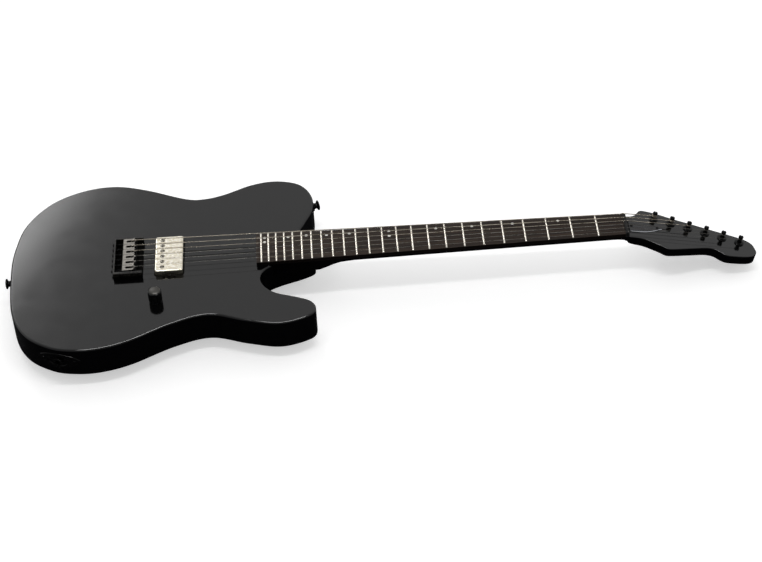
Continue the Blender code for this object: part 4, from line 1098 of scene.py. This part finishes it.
# ---- pickup and controls -----------------------------------------------------------------------
def build_pickup():
    back, front, half, top = PICKUP
    centre = ((back + front) / 2, 0)
    size = (front - back, 2 * half)
    rim = rounded_rectangle(centre, size, 3.2, 8)
    cover = slab("pickup_cover_shell", rim, 38.0, top, "cover", 0.2, 1.7, 6)
    inner = rounded_rectangle(centre, (size[0] - 1.6, size[1] - 1.6), 2.4)
    tools = [prism_tool(inner, 30.0, top - 0.8)]
    poles = [(POLE_X, string_y(i, POLE_PITCH)) for i in range(STRINGS)]
    tools += [bore(x, y, 45, 58, 3.0, 28) for x, y in poles]
    combine(cover, tools)
    place_on(cover, "pickup_cover", body="pickup", slot="aged_nickel")
    rim = rounded_rectangle(centre, (size[0] - 2.0, size[1] - 2.0), 2.2)
    block = slab("pickup_bobbins", rim, 33.0, top - 0.95, "bobbin", 0.3, 0.3)
    place_on(block, "pickup_base", body="pickup", slot="pickup_black")
    for k, (x, y) in enumerate(poles, start=1):
        turn = looking((x, y, top - 0.9), (0, 0, 1), (math.cos(k * 2.1), math.sin(k * 2.1), 0))
        profile = ((0, -3), (1.9, -3), (1.9, -0.1), (2.3, 0.0), (2.3, 0.7), (2.1, 0.95), (1.6, 1.1),
                   (0, 1.15))
        pole = revolve(f"pole_screw_{k}", profile, 28, "pole", place=turn)
        combine(pole, [box_tool((-3, -0.75, -0.1), (3, 0.75, 3), turn)])
        place_on(pole, body="pickup", slot="plain_steel")
    leg = slab("pickup_leg", rounded_rectangle(centre, (13.0, 80.0), 2.0), 32.6, 33.4, "steel", 0.2, 0.2)
    place_on(leg, body="pickup", slot="plain_steel")
    for k, sign in enumerate((1, -1), start=1):
        at = (39.15, sign * 38.2, 41.0)
        screw(f"pickup_height_screw_{k}", looking(at, (0, 0, 1)), 2.2, 1.4, shank=12.0)


def build_controls():
    x, y = KNOB

    def knurl(k, height):
        share = min(1.0, max(0.0, (height - 46.2) / 0.8), max(0.0, (60.6 - height) / 0.7))
        return (0.16 if k % 2 else -0.16) * share

    profile = [(0, KNOB_TOP)]
    for k in range(1, 9):
        angle = math.pi / 2 * k / 9
        profile.append((7.7 * math.sin(angle), 61.4 + (KNOB_TOP - 61.4) * math.cos(angle)))
    profile += [(7.9, 61.3), (8.15, 61.4), (8.5, 61.2), (KNOB_R, 60.7), (KNOB_R, 60.0), (KNOB_R, 56.0),
                (KNOB_R, 51.0), (KNOB_R, 47.0), (KNOB_R - 0.1, 46.0), (KNOB_R - 0.1, 44.9),
                (KNOB_R - 0.4, 44.6), (6.9, 44.6), (6.9, 50.0), (0, 50.0)]
    knob = revolve("volume_knob_cap", profile, 128, "knob", ripple=knurl, place=Matrix.Translation((x, y, 0)),
                   sharp=40.0)
    knob.data.materials.append(LOOKS["dome"])
    for face in knob.data.polygons:
        if face.center.z > 61.38 * MM:
            face.material_index = 1
    place_on(knob, "volume_knob", body="knob")

    side, out = side_frame(JACK_NEAR)
    seat = looking((side.x, side.y, JACK_Z), out, (-out.y, out.x, 0))
    build_jack_plate(seat)
    barrel = ((0, -22), (4.6, -22), (4.6, 3.6), (4.3, 3.9), (3.4, 3.9), (3.3, 3.7), (3.3, -12), (0, -12))
    place_on(revolve("jack_barrel", barrel, 40, "dark", place=seat), "output_jack", slot="plain_steel")
    flats = rounded_polygon(hexagon(6.9, 0.5), 0.8, 3)
    nut = slab("jack_nut", flats, 1.9, 4.2, "dark", 0.3, 0.4, 2, place=seat)
    combine(nut, [bore(0, 0, 0, 6, 4.6, 36, seat)])
    place_on(nut)

    for name, near in (("tail", TAIL_STRAP_NEAR), ("horn", HORN_STRAP_NEAR)):
        side, out = side_frame(near)
        place = looking((side.x, side.y, STRAP_Z), out)
        profile = [(0, -4), (1.5, -4), (1.5, 0.02), (6.5, 0.02), (6.9, 0.4), (6.9, 1.7), (6.5, 2.1),
                   (5.2, 2.5), (4.4, 3.3), (4.0, 4.4), (3.9, 5.4), (4.1, 6.3), (5.2, 7.1), (6.5, 7.6),
                   (6.95, 8.1), (7.0, 8.9), (6.6, 9.6), (5.6, 9.95), (3.4, 10.05), (3.0, 9.7),
                   (2.6, 9.3), (0, 9.2)]
        button = revolve(f"strap_button_{name}_shell", profile, 40, "black", place=place)
        place_on(button, f"strap_button_{name}")
        screw(f"strap_screw_{name}", place @ Matrix.Translation((0, 0, 9.1)), 2.5, 0.9,
              shank=0.5)


def build_jack_plate(seat):
    """A long stamped plate that bends with the body's side, with an eye-shaped dish round the nut."""
    half_length, half_height = 29.0, 12.5
    dish_length, dish_height, dish_depth = 15.0, 9.0, 1.3
    rows, around = 16, 96
    inverse = seat.inverted()
    line = sorted(((inverse @ Vector((p.x, p.y, JACK_Z))) for p in BODY_CURVE), key=lambda p: p.x)
    line = [(p.x, p.z) for p in line if abs(p.x) < 45 and abs(p.z) < 25]

    def lens(angle, length, height, point):
        """Outline of an oval whose ends are drawn out to a point."""
        u = math.cos(angle)
        return length * u, height * math.sin(angle) * (1 - point * u * u)

    def at(u, v, rise):
        return (u, v, interpolate(line, u) + rise)

    rings = []
    inner = [lens(angle, 4.7, 4.7, 0.0) for angle in circle(around)]
    dish = [lens(angle, dish_length, dish_height, 0.45) for angle in circle(around)]
    outer = [lens(angle, half_length, half_height, 0.30) for angle in circle(around)]
    rings.append([at(u, v, 0.04) for u, v in inner])
    for row in range(rows + 1):
        share = row / rows
        rise = 1.35 - dish_depth * min(1.0, 2.2 * (1 - share)) ** 0.7
        rings.append([at(a[0] + (c[0] - a[0]) * share, a[1] + (c[1] - a[1]) * share, rise)
                      for a, c in zip(inner, dish)])
    rim = ((0.06, 1.55), (0.14, 1.5), (0.4, 1.4), (0.75, 1.3), (0.93, 1.15), (0.985, 0.8), (1.0, 0.04))
    for share, rise in rim:
        rings.append([at(a[0] + (c[0] - a[0]) * share, a[1] + (c[1] - a[1]) * share, rise)
                      for a, c in zip(dish, outer)])
    plate = loft("jack_plate_dish", rings, "jack", looped=True, place=seat, sharp=50.0)
    place_on(plate, "jack_plate")
    for k, u in enumerate((-21.5, 21.5), start=1):
        slope = (interpolate(line, u + 0.5) - interpolate(line, u - 0.5))
        out = seat.to_3x3() @ Vector((-slope, 0, 1))
        place = looking(seat @ Vector(at(u, 0, 1.15)), out)
        screw(f"jack_plate_screw_{k}", place, 2.5, 1.3, look="jack", shank=0.8)


# ---- room, light and camera ----------------------------------------------------------------------
def fade_light(data, low, high):
    """An area light whose strength grows from low to high along its first side."""
    data.use_nodes = True
    tree = data.node_tree
    along = part_of(tree, "ShaderNodeNewGeometry", "Parametric", "X")
    put(tree, tree.nodes["Emission"].inputs["Strength"], spread(tree, along, 0.0, 1.0, low, high))


def build_room():
    """White floor and backdrop, bright behind the guitar and dim on the viewer's side."""
    floor_z = CAD_BOX[0][2] - 0.0005
    mesh = bpy.data.meshes.new("floor")
    corners = [(x, y, floor_z) for x, y in ((-6, -5), (7, -5), (7, 8), (-6, 8))]
    mesh.from_pydata(corners, [], [(0, 1, 2, 3)])
    floor = bpy.data.objects.new("floor", mesh)
    bpy.context.scene.collection.objects.link(floor)
    pale = surface("pale_floor", (0.78, 0.78, 0.78), 0.8, mottle=0.01, relief=0.02, specular=0.0)
    tree, inputs, lit = opened(pale)
    path = tree.nodes.new("ShaderNodeLightPath")
    # Painted dark reflection: glossy surfaces see the floor near-black instead of pale.
    seen = path.outputs["Is Glossy Ray"]
    put(tree, inputs["Base Color"], blend(tree, seen, lit, (0.03, 0.03, 0.032)))
    put(tree, inputs["Emission Color"], (1, 1, 1))
    put(tree, inputs["Emission Strength"], times(tree, path.outputs["Is Camera Ray"], 0.50))
    mesh.materials.append(pale)

    world = bpy.data.worlds.new("studio")
    bpy.context.scene.world = world
    world.use_nodes = True
    tree = world.node_tree
    background = tree.nodes["Background"]
    along = part_of(tree, "ShaderNodeTexCoord", "Generated", "Y")
    glow = spread(tree, along, -0.35, 0.45, 0.36, 0.80)
    path = tree.nodes.new("ShaderNodeLightPath")
    seen = blend(tree, path.outputs["Is Camera Ray"], glow, (1.0, 1.0, 1.0))
    tree.links.new(seen, background.inputs["Color"])

    lights = (
        ("overhead_soft", (0.30, -0.25, 2.2), (0.3, 0.0, 0.04), (1.5, 0.22), 0.0, 11.0, True),
        ("overhead_bar", (0.30, -0.45, 2.2), (0.3, 0.0, 0.04), (1.6, 0.20), 0.0, 24.0, False),
        ("left_panel", (-2.04, 6.27, 4.71), (-0.15, 0.05, 0.04), (1.96, 1.68), 34.6, 64.0, True),
    )
    for name, at, aim, size, roll, power, broad in lights:
        data = bpy.data.lights.new(name, "AREA")
        data.shape = "RECTANGLE"
        data.size, data.size_y = size
        data.energy = power
        light = bpy.data.objects.new(name, data)
        bpy.context.scene.collection.objects.link(light)
        light.visible_diffuse = broad
        if name == "left_panel":
            fade_light(data, 0.36, 1.6)
        away = (Vector(at) - Vector(aim)).normalized()
        turn = away.to_track_quat("Z", "Y").to_matrix() @ Matrix.Rotation(math.radians(roll), 3, "Z")
        light.location = at
        light.rotation_euler = turn.to_euler()

    data = bpy.data.cameras.new("camera")
    data.sensor_width = 36.0
    data.lens = 91.88
    data.clip_end = 30.0
    camera = bpy.data.objects.new("camera", data)
    bpy.context.scene.collection.objects.link(camera)
    camera.location = (0.26541, -1.95957, 1.75673)
    camera.rotation_euler = [math.radians(a) for a in (47.734, 2.0217, -3.4204)]
    bpy.context.scene.camera = camera
    bpy.context.scene.view_settings.view_transform = "Standard"


def dress_hidden_nodes():
    """CAD nodes that stay: the truss rod in its channel and the pot in its cavity."""
    for name in ("truss_rod", "volume_pot"):
        worn_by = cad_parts[name].data.materials
        worn_by.clear()
        worn_by.append(LOOKS["steel"])


build_body()
build_back()
build_neck()
build_fingerboard()
build_nut()
build_truss_rod()
build_bridge()
build_strings()
build_tuners()
build_pickup()
build_controls()
dress_hidden_nodes()
build_room()
